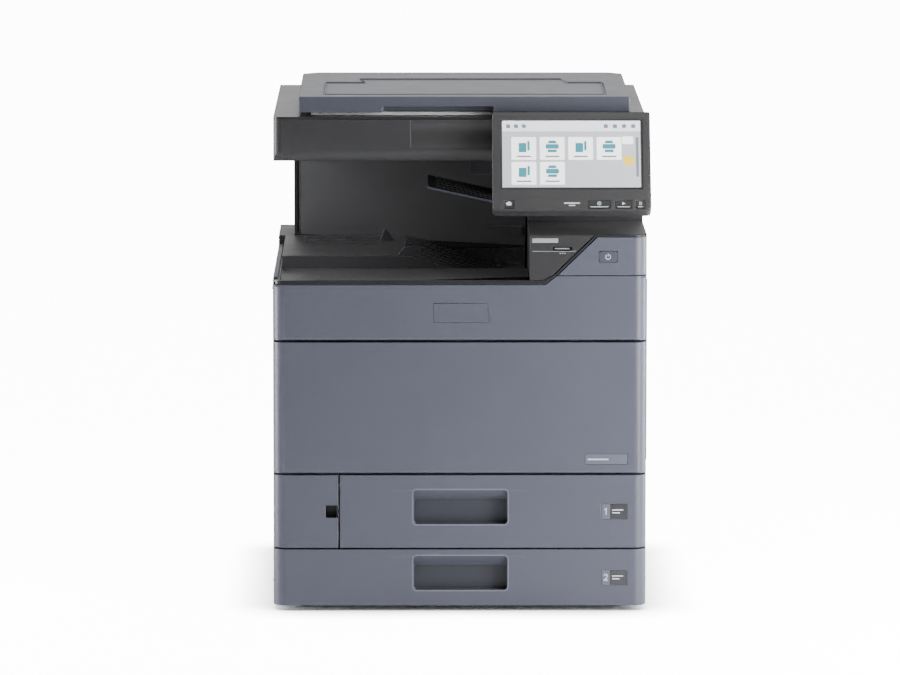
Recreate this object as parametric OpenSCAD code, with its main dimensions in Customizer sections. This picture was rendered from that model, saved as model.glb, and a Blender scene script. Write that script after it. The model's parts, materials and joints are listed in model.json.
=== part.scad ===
// Floor-standing office photocopier: two paper drawers, an output bay in the body,
// a flatbed scanner with a hinged cover, and a tilting touch panel.
// Millimetres. +Z up, front towards -Y, right side towards +X.

/* [Body] */
// Width of the front face
body_w = 575; // [540:1:640]
// How far the right side unit stands out past the front face
side_reach = 3; // [2:0.5:6]
// Depth from the front face to the rear cover
body_d = 630; // [600:1:680]
// How far the touch panel stands out in front of the face
panel_reach = 35; // [30:1:45]
// Height of the feet
foot_h = 8.4; // [6:0.2:14]
// Radius of the upright front corners
corner_r = 20; // [12:1:21]
// Gap between neighbouring front covers
seam = 2.6; // [2:0.1:4]

/* [Front covers] */
// Depth of each front cover's shell
cover_d = 24; // [22:0.5:30]
// Wall of the moulded covers
wall = 2.5; // [2:0.1:3.5]
// Height of the lower drawer front
drawer_2_h = 87.6; // [80:1:110]
// Height of the upper drawer front
drawer_1_h = 113; // [105:1:130]
// Height of the front cover
front_cover_h = 203.5; // [180:1:230]
// Height of the toner cover on its low side
toner_cover_h = 86; // [80:1:100]
// How much higher the toner cover is on its right side
toner_step = 13.8; // [8:0.5:20]
// Width of the main switch cover
switch_cover_w = 100; // [80:1:120]

/* [Output bay] */
// Height from the bay's front floor to the underside of the scanner
bay_h = 179.6; // [160:0.2:220]
// How far the left side of the tower behind the bay stands in from the body's
tower_inset = 25; // [4:1:40]
// X of the bay's right wall, from the left side of the body
bay_w = 395; // [360:1:420]
// Distance from the front face to the bay's back wall
bay_d = 474; // [440:1:500]
// How far the stacking tray drops towards the paper exit
tray_drop = 50; // [20:1:55]
// Height of the shelf beside the bay, above the bay's floor
shelf_h = 73; // [60:1:90]

/* [Scanner] */
// Height of the scanner housing
scanner_h = 69; // [60:1:90]
// How far the scanner is set back from the front face
scanner_back = 73; // [70:1:90]
// Thickness of the document cover
lid_t = 24.7; // [20:0.5:35]
// Width of the document cover
lid_w = 511; // [480:1:520]
// Depth of the document cover
lid_d = 433; // [400:1:440]
// Document glass length
glass_l = 436; // [432:1:445]
// Document glass width
glass_w = 303; // [299:1:320]

/* [Touch panel] */
// Width of the touch panel
panel_w = 242.7; // [225:0.5:260]
// Length of the touch panel's sloping face
panel_l = 172.8; // [160:0.5:176]
// Thickness of the touch panel
panel_t = 22; // [20:0.5:24]
// Lean of the touch panel back from upright
panel_lean = 32.4; // [28:0.2:36]
// Touch screen width
screen_w = 216; // [190:1:218]
// Touch screen height
screen_l = 118; // [100:1:118]

/* [Paper] */
// Longest sheet
paper_l = 420; // [400:1:420]
// Widest sheet
paper_w = 297; // [257:1:297]

/* [Hidden] */
$fn = 64;
eps = 0.01;
rest_gap = 0.3;      // gap between pieces that move apart
run_gap = 0.05;      // radial clearance of a pin in its bore

// Planes of the body
x_left = -(body_w + side_reach) / 2;
x_right = x_left + body_w;
x_side = x_left + body_w + side_reach;
y_face = -(body_d + panel_reach) / 2 + panel_reach;
y_rear = y_face + body_d;
y_back = y_face + cover_d;             // back of the front covers
y_inner = y_back + rest_gap;           // front of the inner cover
y_inner_back = y_inner + 3;
y_side = y_back + seam;                // front edge of the side covers
skin = 3;
x_in = x_left + skin;
x_out = x_right - skin;
y_out = y_rear - skin;

// Levels of the front
tray_t = 3;                            // thickness of the trays in the output bay
z_base = foot_h;
z_pan = z_base + 3;
z_d2 = z_base + drawer_2_h;
z_d1 = z_d2 + seam;
z_d1_top = z_d1 + drawer_1_h;
z_fc = z_d1_top + seam;
z_fc_top = z_fc + front_cover_h;
z_tc = z_fc_top + seam + 0.4;
z_tc_top = z_tc + toner_cover_h;
z_floor = z_tc_top + tray_t + 0.6;     // floor of the output bay
z_shelf = z_floor + shelf_h;
z_scan = z_floor + bay_h;
z_top = z_scan + scanner_h;
z_lid = z_top + 6.3;
x_bay = x_left + bay_w;
x_tower = x_left + tower_inset;
y_bay = y_face + bay_d;
y_scan = y_face + scanner_back;

// Chassis
sheet = 2;
x_wall_l = x_left + 15;
x_wall_r = x_right - 22;
y_plate = y_rear - 36.5;               // front of the upright rear plate
x_post = x_left + switch_cover_w - 1;  // runner wall beside the drawers

// Drawer trays
tray_l = paper_l + 14;
flange_w = 8;                          // width of the runner flange beside a drawer tray
x_tray = x_wall_r - flange_w - tray_l;
tray_w = paper_w + 88;
guide_t = 3;
guide_l = 160;
y_paper = y_back + tray_w / 2;         // centre line of the paper
runner_drop = 10;
x_runner_out = x_wall_r - rest_gap;

// Document cover and scanner
x_lid = x_left + 39.3;
y_lid = y_scan + 3.5;
hinge_y = y_lid + lid_d + 16;
hinge_z = z_top + 12;
hinge_r = 9;
hinge_pin = 4;
hinge_xs = [x_lid + 80, x_lid + lid_w - 80];
x_glass = x_left + 71;
y_glass = y_scan + 35;
carriage_w = 36;

// Touch panel, drawn lying flat: X right, Y up the slope, Z out of its face
x_panel = x_right + 5 - panel_w;
y_panel = y_face - panel_reach;
panel_top = z_top + 13;
z_panel = panel_top - panel_l * cos(panel_lean);
pivot_r = panel_t / 2;
pivot_v = panel_l - pivot_r;
panel_notches = [32, panel_w - 52];
notch_w = 20;
key_h = 12;
key_v = 4;

// Toner bottles and imaging parts
bottle_r = 32;
bottle_pitch = 2 * bottle_r + 6;
bottle_z = z_tc + bottle_r + 12;
bottle_xs = [for (i = [0:3]) x_wall_l + sheet + bottle_r + 6 + i * bottle_pitch];
coupler_r = 6;
drum_r = 15;
drum_xs = [for (i = [0:3]) x_left + 120 + i * 90];
laser_h = 90;
z_laser = z_fc + 8;
z_drum = z_laser + laser_h + 42;
roll_r = 9;
x_roll = x_bay + 3 + roll_r + 3;
z_roll = z_floor - tray_drop + 27;

// Right side unit
door_y0 = y_face + 82;
door_y1 = door_y0 + 365;
door_z0 = z_fc + 10;
door_z1 = z_floor - 5;
x_door = x_side;                       // outer face of the side door
door_d = 20;                           // depth of the side door's shell
mp_y0 = door_y0 + 55;
mp_y1 = door_y1 - 50;
mp_z0 = door_z0 + 15;
mp_h = 180;
mp_t = 11;                             // thickness of the side tray
mp_pin = 3;
x_mp_pin = x_door - mp_t / 2;
x_pocket = x_door - mp_t - 1;          // back of the side tray's pocket in the door
pocket_gap = 0.6;                      // gap round the side tray in its pocket
pocket_top = door_z1 - 5;
z_mp_pin = mp_z0 + 6;

body_grey = "#757a8c";
pale_grey = "#8a8c9c";
dark_grey = "#4b4c55";
near_black = "#1d1d21";

// ---- Helpers ----

// A box from its low corner to its high corner
module block(low, high) {
  translate(low) cube(high - low);
}

// A cylinder along X
module bar_x(r, x0, x1, y, z) {
  translate([x0, y, z]) rotate([0, 90, 0]) cylinder(r = r, h = x1 - x0);
}

// A cylinder along Y
module bar_y(r, y0, y1, x, z) {
  translate([x, y0, z]) rotate([-90, 0, 0]) cylinder(r = r, h = y1 - y0);
}

// A rectangle with rounded corners
module round_rect(x0, y0, x1, y1, r) {
  translate([x0 + r, y0]) square([x1 - x0 - 2 * r, y1 - y0]);
  translate([x0, y0 + r]) square([x1 - x0, y1 - y0 - 2 * r]);
  for (x = [x0 + r, x1 - r], y = [y0 + r, y1 - r]) translate([x, y]) circle(r);
}

// An upright outline (X across, Z up) pushed back from y0 to y1
module upright(y0, y1) {
  translate([0, y1, 0]) rotate([90, 0, 0]) linear_extrude(y1 - y0) children();
}

// An outline in Y (across) and Z (up) drawn out along X from x0 to x1
module along_x(x0, x1) {
  translate([x0, 0, 0]) rotate([90, 0, 90]) linear_extrude(x1 - x0) children();
}

// Plan of a front cover, with its own round corner at either end
module plan(x0, x1, y0, y1, rl, rr)
  intersection() {
    translate([x0, y0]) square([x1 - x0, y1 - y0]);
    union() {
      translate([x0 + rl, y0]) square([x1 - x0 - rl - rr, y1 - y0]);
      if (rl > 0) {
        translate([x0 + rl, y0 + rl]) circle(rl);
        translate([x0, y0 + rl]) square([rl + eps, y1 - y0]);
      }
      if (rr > 0) {
        translate([x1 - rr, y0 + rr]) circle(rr);
        translate([x1 - rr - eps, y0 + rr]) square([rr + eps, y1 - y0]);
      }
    }
  }

// A front cover: a shell that is open at the back
module cover_shell(x0, x1, z0, z1, rl = 0, rr = 0) {
  difference() {
    translate([0, 0, z0]) linear_extrude(z1 - z0) plan(x0, x1, y_face, y_back, rl, rr);
    translate([0, 0, z0 + wall]) linear_extrude(z1 - z0 - 2 * wall)
      plan(x0 + wall, x1 - wall, y_face + wall, y_back + 1,
           max(rl - wall, 0), max(rr - wall, 0));
  }
}

// The body's plan, with its round front corners
module body_plan(y1) {
  plan(x_left, x_right, y_face, y1, corner_r, corner_r);
}

// ---- Frame ----

module base_frame() color("silver") {
  block([x_in, y_inner_back, z_base], [x_out, y_out, z_pan]);
  block([x_wall_l, y_plate, z_pan - eps], [x_wall_r + sheet, y_plate + sheet, z_floor - 8]);
  for (x = bottle_xs) bar_y(coupler_r, y_plate - 24, y_plate + eps, x, bottle_z);
}

module feet() color(near_black)
  for (x = [x_left + 50, x_right - 50], y = [y_face + 60, y_rear - 50])
    translate([x, y, 0]) {
      cylinder(r = 18, h = foot_h - 2);
      cylinder(r = 12, h = foot_h);
    }

// A runner ledge under one drawer flange
module runner(x0, x1, z_flange)
  block([x0, y_inner_back, z_flange - rest_gap - sheet],
        [x1, y_back + tray_w, z_flange - rest_gap]);

function flange_z(k) = (k == 1 ? z_d1_top - 7 : z_d2 - 4) - runner_drop;

module side_walls() color("silver") {
  block([x_wall_l, y_inner_back, z_pan], [x_wall_l + sheet, y_plate, z_floor - 8]);
  block([x_post, y_inner_back, z_pan], [x_post + sheet, y_plate, z_d1_top]);
  difference() {
    block([x_wall_r, y_inner_back, z_pan], [x_wall_r + sheet, y_plate, z_floor - 8]);
    block([x_wall_r - 1, door_y0 + 10, door_z0 + 5],
          [x_wall_r + sheet + 1, door_y1 - 10, door_z1 - 120]);
  }
  for (k = [1, 2]) {
    runner(x_post + sheet - eps, x_tray - 1, flange_z(k));
    runner(x_tray + tray_l + 1, x_wall_r + eps, flange_z(k));
  }
}

// ---- Outer covers ----

grip_z = z_tc + 30;
grip_h = 41;
grip_l = 110;
grip_d = 12;
grip_ys = [y_side + 75, y_rear - 210];
rail_w = 11;                           // side rail beside the output bay
louvre_n = 10;
louvre_pitch = 9;
louvre_t = 3.5;
louvre_l = 100;
left_louvre_ys = [y_side + 90, y_side + 280];
left_louvre_z = z_fc + 38;

// A column of louvre slots through a cover that faces along X
module louvres_x(x0, x1, y0, y1, z0)
  for (i = [0:louvre_n - 1])
    block([x0, y0, z0 + i * louvre_pitch], [x1, y1, z0 + i * louvre_pitch + louvre_t]);

module left_cover() color(body_grey) {
  difference() {
    block([x_left, y_side, z_base + 1], [x_in, y_out, z_floor]);
    for (y = grip_ys) block([x_left - 1, y, grip_z], [x_in + 1, y + grip_l, grip_z + grip_h]);
    for (y = left_louvre_ys) louvres_x(x_left - 1, x_in + 1, y, y + louvre_l, left_louvre_z);
  }
  for (y = grip_ys) difference() {
    block([x_left + 0.5, y - wall, grip_z - wall],
          [x_left + grip_d, y + grip_l + wall, grip_z + grip_h + wall]);
    block([x_left - 1, y, grip_z], [x_left + grip_d - wall, y + grip_l, grip_z + grip_h]);
  }
  // Side rail along the edge of the bay
  intersection() {
    block([x_left, y_face + trim_d, z_floor], [x_left + rail_w, y_bay, z_floor + 3]);
    linear_extrude(z_top) body_plan(y_rear);
  }
}

module right_front_cover() color(body_grey)
  translate([x_out, 0, 0]) rotate([90, 0, 90]) linear_extrude(skin) polygon([
    [y_side, z_base + 1], [y_out, z_base + 1], [y_out, door_z0 - 0.6],
    [door_y0 - seam, door_z0 - 0.6],
    [door_y0 - seam, z_floor], [y_side, z_floor]]);

module right_rear_cover() color(body_grey)
  difference() {
    block([x_out, door_y1 + seam, door_z0], [x_right, y_out, z_floor]);
    louvres_x(x_out - 1, x_right + 1, door_y1 + 45, y_out - 40, z_fc + 60);
  }

inlet_x = x_right - 75;
inlet_z = z_base + 60;
inlet_w = 30;
inlet_h = 22;
inlet_case = [22, 16];                 // half width and half height of the inlet's casing
blade_t = 2;
blade_l = 3;
rear_louvre_n = 14;
rear_louvre_pitch = 10;
rear_louvre_t = 4;
rear_louvre_l = 170;
socket_w = 20;
socket_h = 16;
socket_pitch = 34;

module rear_cover() color(body_grey)
  difference() {
    upright(y_out, y_rear) polygon([
      [x_left, z_base + 1], [x_right, z_base + 1], [x_right, z_scan], [x_tower, z_scan],
      [x_tower, z_stack], [x_left, z_stack]]);
    block([inlet_x - inlet_case[0], y_out - 1, inlet_z - inlet_case[1]],
          [inlet_x + inlet_case[0], y_rear + 1, inlet_z + inlet_case[1]]);
    for (i = [0:rear_louvre_n - 1], x = [x_left + 70, x_left + 330]) {
      z = z_fc + 40 + i * rear_louvre_pitch;
      block([x, y_out - 1, z], [x + rear_louvre_l, y_rear + 1, z + rear_louvre_t]);
    }
    // Openings for the network and service sockets
    for (i = [0:2]) {
      x = x_left + 60 + i * socket_pitch;
      block([x, y_out - 1, z_floor + 40], [x + socket_w, y_rear + 1, z_floor + 40 + socket_h]);
    }
  }

module power_inlet() color(near_black) {
  difference() {
    block([inlet_x - inlet_case[0], y_plate + sheet, inlet_z - inlet_case[1]],
          [inlet_x + inlet_case[0], y_rear - 0.5, inlet_z + inlet_case[1]]);
    block([inlet_x - inlet_w / 2, y_rear - 22, inlet_z - inlet_h / 2],
          [inlet_x + inlet_w / 2, y_rear + 1, inlet_z + inlet_h / 2]);
  }
  // The three blades lie along the upper and lower walls of the socket
  for (b = [[-7, -8.2], [7, -8.2], [0, 5.2]])
    block([inlet_x + b[0] - blade_t / 2, y_rear - 22.5, inlet_z + b[1]],
          [inlet_x + b[0] + blade_t / 2, y_rear - 7, inlet_z + b[1] + blade_l]);
}

// ---- Front covers ----

hinge_in = 5;                          // hinge line behind the face and above the lower edge
ear_r = 2.2;
door_pin = 1.6;
ear_xs = [x_left + 40, x_right - 46];
ear_w = 4;
rib_w = 6;

// What is cut from the lower edge, so that it turns about the hinge line
module round_foot(z0, x0, x1) {
  difference() {
    block([x0 - 1, y_face - 1, z0 - 1], [x1 + 1, y_face + hinge_in, z0 + hinge_in]);
    bar_x(hinge_in, x0 - 2, x1 + 2, y_face + hinge_in, z0 + hinge_in);
  }
  block([x0 - 1, y_back - 0.6, z0 - 1], [x1 + 1, y_back + 1, z0 + hinge_in]);
}

// Hinge ribs of a bottom-hinged cover, one beside each ear
module hinge_ribs(z0)
  for (x = ear_xs) difference() {
    block([x - rib_w - rest_gap, y_face + 1, z0 + 1], [x - rest_gap, y_back - 8, z0 + 16]);
    bar_x(door_pin + run_gap, x - rib_w - 1, x + 1, y_face + hinge_in, z0 + hinge_in);
  }

module ear_notches(z0)
  for (x = ear_xs)
    block([x - rest_gap, y_face + wall, z0 - 1], [x + ear_w + 1, y_back + 1, z0 + wall + 1]);

// Ears on the inner cover that carry a bottom-hinged cover
module hinge_ears(z0)
  for (x = ear_xs) {
    hinge_ear(x, z0);
    bar_x(door_pin, x - rib_w, x + eps, y_face + hinge_in, z0 + hinge_in);
  }

module hinge_ear(x, z0) {
  bar_x(ear_r, x, x + ear_w, y_face + hinge_in, z0 + hinge_in);
  block([x, y_face + hinge_in, z0 + hinge_in - ear_r],
        [x + ear_w, y_inner + eps, z0 + hinge_in + ear_r]);
}

label_w = 65.5;
label_h = 16;
label_x = x_right - 29 - label_w;
label_z = z_fc + 14.5;

module front_cover() color(body_grey) {
  difference() {
    cover_shell(x_left, x_right, z_fc, z_fc_top, corner_r, corner_r);
    round_foot(z_fc, x_left, x_right);
    ear_notches(z_fc);
    // Recess for the small label plate
    block([label_x, y_face - 1, label_z], [label_x + label_w, y_face + 0.6, label_z + label_h]);
  }
  difference() {
    hinge_ribs(z_fc);
    round_foot(z_fc, x_left, x_right);
  }
}

plate_w = 83.9;                        // blank plate on the toner cover
plate_h = 29.6;
plate_x = x_left + 246.8;
plate_z = z_tc + 28;

// Upright outline of the toner cover, with its step up on the right
module toner_outline() polygon([
  [x_left - 1, z_tc - 1], [x_right + 1, z_tc - 1], [x_right + 1, z_tc_top + toner_step],
  [x_bay + 41, z_tc_top + toner_step], [x_bay + 24, z_tc_top], [x_left - 1, z_tc_top]]);

module toner_cover() color(body_grey) {
  intersection() {
    difference() {
      union() {
        cover_shell(x_left, x_right, z_tc, z_tc_top + toner_step, corner_r, corner_r);
        upright(y_face + wall, y_back) intersection() {
          difference() {
            toner_outline();
            translate([0, -wall]) toner_outline();
          }
          translate([x_left + wall, 0]) square([body_w - 2 * wall, z_top]);
        }
      }
      round_foot(z_tc, x_left, x_right);
      ear_notches(z_tc);
      // Recessed plate above the handle
      block([plate_x, y_face - 1, plate_z], [plate_x + plate_w, y_face + 0.8, plate_z + plate_h]);
      // The upper edge is cut back behind the face, so that it swings clear
      along_x(x_left - 1, x_right + 1) polygon([
        [y_face + 13, z_tc_top + 0.5 - 2], [y_back + 1, z_tc_top - 14],
        [y_back + 1, z_top], [y_face + 13, z_top]]);
    }
    upright(y_face - 1, y_back + 1) toner_outline();
  }
  difference() {
    hinge_ribs(z_tc);
    round_foot(z_tc, x_left, x_right);
  }
}

module inner_cover() color(dark_grey) {
  difference() {
    union() {
      block([x_left + 11, y_inner, z_fc], [x_out - 2, y_inner_back, z_floor - 6]);
      block([x_left + 11, y_inner, z_d1 + 1], [x_post, y_inner_back, z_fc + 1]);
    }
    for (x = bottle_xs) bar_y(bottle_r + rest_gap, y_inner - 1, y_inner_back + 1, x, bottle_z);
    block([switch_x - switch_w / 2, y_inner - 1, switch_z - switch_h / 2],
          [switch_x + switch_w / 2, y_inner_back + 1, switch_z + switch_h / 2]);
  }
  // Pocket for the main switch
  difference() {
    block([switch_x - switch_w / 2 - wall, y_inner + 1, switch_z - switch_h / 2 - wall],
          [switch_x + switch_w / 2 + wall, y_inner_back + 18, switch_z + switch_h / 2 + wall]);
    block([switch_x - switch_w / 2, y_inner - 1, switch_z - switch_h / 2],
          [switch_x + switch_w / 2, y_inner_back + 16, switch_z + switch_h / 2]);
  }
  bar_x(switch_pin, switch_x - switch_w / 2 - 1, switch_x + switch_w / 2 + 1, switch_y, switch_z);
  hinge_ears(z_fc);
  hinge_ears(z_tc);
}

switch_x = x_left + 50;
switch_z = z_d1 + 56;
switch_w = 24;
switch_h = 34;
switch_pin = 1.5;
switch_y = y_inner_back + 8;

// Rocker that turns on a pin across its pocket
module main_switch() color(near_black)
  difference() {
    union() {
      along_x(switch_x - switch_w / 2 + rest_gap, switch_x + switch_w / 2 - rest_gap)
        polygon([[y_inner_back + 2, switch_z - 15], [y_inner + 1, switch_z + 14],
                 [y_inner + 6, switch_z + 15], [switch_y + 3, switch_z],
                 [y_inner_back + 7, switch_z - 15]]);
      bar_x(4, switch_x - switch_w / 2 + rest_gap, switch_x + switch_w / 2 - rest_gap,
            switch_y, switch_z);
    }
    bar_x(switch_pin + run_gap, switch_x - switch_w, switch_x + switch_w, switch_y, switch_z);
  }

module switch_cover() color(body_grey)
  difference() {
    cover_shell(x_left, x_left + switch_cover_w, z_d1, z_d1_top, corner_r, 0);
    // Finger notch in the free edge
    block([x_left + switch_cover_w - 19, y_face - 1, z_d1 + 47],
          [x_left + switch_cover_w + 1, y_face + 9, z_d1 + 66]);
  }

// ---- Drawers ----

handle_x = x_left + 215.6;
handle_w = 146;
handle_h = 54;
handle_d = 20;
mark_x = x_right - 68.4;
mark_w = 39;
mark_h = 23.7;

function drawer_z(k) = k == 1 ? z_d1 : z_base;
function drawer_top(k) = k == 1 ? z_d1_top : z_d2;
function drawer_x(k) = k == 1 ? x_left + switch_cover_w + seam : x_left;
function handle_z(k) = drawer_z(k) + (k == 1 ? 36.5 : 24);
function mark_z(k) = drawer_z(k) + (k == 1 ? 44.5 : 31.7);
function tray_z(k) = k == 1 ? z_d1 + 5 : z_pan + 4;
function tray_top(k) = flange_z(k) + runner_drop;

// The hand hold: a round-cornered mouth with a sloping roof
module handle_hollow(k)
  intersection() {
    upright(y_face - 1, y_back)
      round_rect(handle_x, handle_z(k), handle_x + handle_w, handle_z(k) + handle_h, 6);
    along_x(handle_x, handle_x + handle_w) polygon([
      [y_face - 1, handle_z(k)], [y_face - 1, handle_z(k) + handle_h],
      [y_face, handle_z(k) + handle_h], [y_face + 12, handle_z(k) + handle_h - 14],
      [y_face + handle_d, handle_z(k) + handle_h - 10], [y_face + handle_d, handle_z(k)]]);
  }

module drawer_front(k) color(body_grey)
  difference() {
    union() {
      cover_shell(drawer_x(k), x_right, drawer_z(k), drawer_top(k), k == 1 ? 0 : corner_r, corner_r);
      block([handle_x - wall, y_face + 1, handle_z(k) - wall],
            [handle_x + handle_w + wall, y_back, handle_z(k) + handle_h + wall]);
    }
    handle_hollow(k);
    block([mark_x, y_face - 1, mark_z(k)], [mark_x + mark_w, y_face + 0.8, mark_z(k) + mark_h]);
  }

module drawer_tray(k) color("#3c3d44") {
  low = [x_tray, y_back, tray_z(k)];
  high = [x_tray + tray_l, y_back + tray_w, tray_top(k)];
  difference() {
    block(low, high);
    block(low + [wall, wall, wall], high + [-wall, -wall, 1]);
    // The feed side is lower, where the paper leaves
    block([high[0] - wall - 1, y_paper - paper_w / 2 + 30, high[2] - 30],
          [high[0] + 1, y_paper + paper_w / 2 - 30, high[2] + 1]);
  }
  for (x = [[x_post + sheet + rest_gap, x_tray + eps], [x_tray + tray_l - eps, x_runner_out]])
    block([x[0], y_back, flange_z(k)], [x[1], y_back + tray_w, flange_z(k) + sheet]);
}

guide_h = 52;

// Side guide of the paper stack; side is -1 at the front and 1 at the rear
module side_guide(k, side) color("#2b5f6d") {
  y = y_paper + side * paper_w / 2;
  far = y + side * guide_t;
  x0 = x_tray + 130;
  z0 = tray_z(k) + wall + rest_gap;
  block([x0, min(y, far), z0], [x0 + guide_l, max(y, far), z0 + guide_h]);
  foot = far + side * 14;
  block([x0 + 50, min(far, foot) - (side > 0 ? eps : 0), z0],
        [x0 + guide_l - 50, max(far, foot) + (side < 0 ? eps : 0), z0 + 14]);
}

module end_guide(k) color("#2b5f6d") {
  x1 = x_tray + tray_l - wall - paper_l;
  z0 = tray_z(k) + wall + rest_gap;
  block([x1 - guide_t, y_paper - 28, z0], [x1, y_paper + 28, z0 + guide_h]);
  block([x1 - guide_t - 5, y_paper - 14, z0], [x1 - guide_t + eps, y_paper + 14, z0 + 20]);
}

// ---- Output bay ----

z_stack = z_floor + 20;                // flat part of the stacking tray
y_stack = y_face + 187;
x_curve = x_left + 191;                // where the stacking tray starts to fall
curve_w = x_bay - 19 - x_curve;
tray_rib_t = 3;
flat_rib_pitch = 37;
slope_rib_pitch = 42;
trim_d = 8;                            // depth of the dark trim behind the face

// Height of the stacking tray's top at a share t of its fall
function tray_fall(t) = z_stack - tray_drop * t * t * (3 - 2 * t);

tray_points = [for (i = [0:8]) [x_curve + curve_w * i / 8, tray_fall(i / 8)]];

// Outline between the tray's top and a line raised or lowered by h
module tray_band(x0, x1, lift, drop) {
  inside = [for (p = tray_points) if (p[0] > x0 && p[0] < x1) p];
  ends = [[x0, tray_level(x0)], [x1, tray_level(x1)]];
  line = concat([ends[0]], inside, [ends[1]]);
  polygon(concat([for (p = line) p + [0, lift]],
                 [for (i = [len(line) - 1:-1:0]) line[i] - [0, drop]]));
}

function tray_level(x) = x <= x_curve ? z_stack
  : x >= x_curve + curve_w ? z_stack - tray_drop
  : tray_fall((x - x_curve) / curve_w);

module inner_tray() color(dark_grey) {
  x0 = x_left + rail_w;
  // Front floor and the step up to the stacking tray
  intersection() {
    block([x0, y_face + trim_d, z_floor - tray_t], [x_bay, y_stack + 1, z_floor]);
    linear_extrude(z_top) body_plan(y_rear);
  }
  upright(y_stack, y_bay) {
    tray_band(x0, x_bay, 0, tray_t);
    // End wall beside the rail
    translate([x0, z_floor]) square([tray_t, z_stack - z_floor]);
  }
  // Wall across the step, between the floor and the stacking tray
  steps = concat([x0], [for (p = tray_points) p[0]], [x_bay]);
  upright(y_stack, y_stack + wall) polygon(concat(
    [for (x = steps) [x, max(tray_level(x), z_floor)]],
    [for (i = [len(steps) - 1:-1:0]) [steps[i], min(tray_level(steps[i]), z_floor) - tray_t]]));
  // Ribs: three on the flat, six down the slope
  for (i = [0:2]) {
    y = y_face + 363 + i * flat_rib_pitch;
    block([x_left + 45, y, z_stack - eps], [x_left + 162, y + tray_rib_t, z_stack + 1.5]);
  }
  for (i = [0:5]) {
    y = y_stack + 30 + i * slope_rib_pitch;
    upright(y, y + tray_rib_t) tray_band(x_curve + 12, x_bay - 22, 2, 1);
  }
  // Upright fins that hold the sheets up
  upright(y_face + 398, y_face + 402) polygon([
    [x_left + 163, z_stack - 1], [x_left + 171, z_stack + 20], [x_left + 187, z_stack - 1]]);
  upright(y_stack + 8, y_stack + 12) polygon([
    [x_left + 191, z_stack - 1], [x_left + 203, z_stack + 14],
    [x_left + 252, tray_level(x_left + 252) - 1]]);
}

module tray_trim() color(near_black)
  intersection() {
    upright(y_face, y_face + trim_d) polygon([
      [x_left - 1, z_tc_top + 0.6], [x_bay + 23, z_tc_top + 0.6],
      [x_bay + 40.5, z_tc_top + toner_step + 0.6], [x_bay + 102, z_shelf - 2.5],
      [x_right + 1, z_shelf - 2.5], [x_right + 1, z_shelf],
      [x_bay + 100, z_shelf], [x_bay + 37.5, z_tc_top + toner_step + 2],
      [x_bay + 21, z_floor + 3.5], [x_left - 1, z_floor + 3.5]]);
    linear_extrude(z_top) body_plan(y_rear);
  }

module separator_tray() color(dark_grey) {
  y0 = y_face + 190;
  x0 = x_left + 239;
  upright(y0, y0 + 175) polygon([[x0, z_floor + 129], [x_bay, z_floor + 95],
    [x_bay, z_floor + 91], [x0, z_floor + 125]]);
  for (i = [0:5])
    upright(y0 + 18 + i * 27, y0 + 20.5 + i * 27) polygon([
      [x0 + 14, z_floor + 124], [x0 + 14, z_floor + 127.7], [x_bay - 10, z_floor + 98.9],
      [x_bay - 10, z_floor + 95]]);
}

// Outline of the tower: a full-width foot and a narrower body, taken in by g
module tower_outline(g)
  polygon([[x_left + g, z_floor + g], [x_right - g, z_floor + g], [x_right - g, z_scan - g],
           [x_tower + g, z_scan - g], [x_tower + g, z_stack - g], [x_left + g, z_stack - g]]);

module rear_tower() color(dark_grey)
  difference() {
    upright(y_bay, y_out) tower_outline(0);
    upright(y_bay + skin, y_out + 1) tower_outline(skin);
    // Upright slot beside the left pillar
    block([x_tower + 6, y_bay - 1, z_stack + 6], [x_tower + 9, y_bay + 2, z_scan - 8]);
  }

column_y = y_face + 205;

module right_column() color(dark_grey)
  difference() {
    union() {
      block([x_bay, column_y, z_floor + 3], [x_right, y_bay, z_scan]);
      block([x_bay, column_y, z_stack - tray_drop - 10], [x_bay + 86, y_bay, z_floor + 4]);
    }
    block([x_bay + skin, column_y + skin, z_floor + 6], [x_out, y_bay - skin, z_scan - skin]);
    block([x_bay + skin, column_y + skin, z_stack - tray_drop - 7],
          [x_bay + 83, y_bay - skin, z_floor + 7]);
    // Lower paper exit
    block([x_bay - 1, column_y + 20, z_stack - tray_drop + 4],
          [x_bay + skin + 1, y_bay - 22, z_stack - tray_drop + 18]);
    // Upper paper exit, above the separator
    block([x_bay - 1, column_y + 20, z_floor + 102],
          [x_bay + skin + 1, y_bay - 112, z_floor + 116]);
    bar_y(3 + run_gap, column_y - 1, y_bay + 1, x_roll, z_roll);
  }

module exit_roller() color("#26262a") {
  bar_y(3, column_y + 0.5, y_bay - 0.5, x_roll, z_roll);
  for (i = [0:3]) bar_y(roll_r, column_y + 40 + i * 52, column_y + 64 + i * 52, x_roll, z_roll);
}

small_t = 14;                          // thickness of the small front panels

// Box beside the bay that carries the small front panels
module panel_shelf() color(dark_grey)
  difference() {
    intersection() {
      block([x_bay, y_face + small_t, z_floor + 3], [x_right, column_y, z_shelf]);
      linear_extrude(z_top) body_plan(y_rear);
    }
    block([x_bay + skin, y_face + small_t - 1, z_floor + 6], [x_out, column_y + 1, z_shelf - skin]);
  }

light_w = 40;
light_h = 7;
light_x = x_bay + 3.5;
light_z = z_shelf - 11.5;
usb_x = x_bay + 34.5;
usb_w = 30;
usb_z = z_shelf - 24;
usb_h = 6.5;

module usb_panel() color("#3e3f47")
  difference() {
    upright(y_face, y_face + small_t) polygon([
      [x_bay, z_floor + 4], [x_bay + 20, z_floor + 4], [x_bay + 35.5, z_tc_top + toner_step + 2],
      [x_bay + 98, z_shelf], [x_bay, z_shelf]]);
    block([light_x, y_face - 1, light_z], [light_x + light_w, y_face + 4, light_z + light_h]);
    block([usb_x, y_face - 1, usb_z], [usb_x + usb_w, y_face + 11, usb_z + usb_h]);
  }

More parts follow.
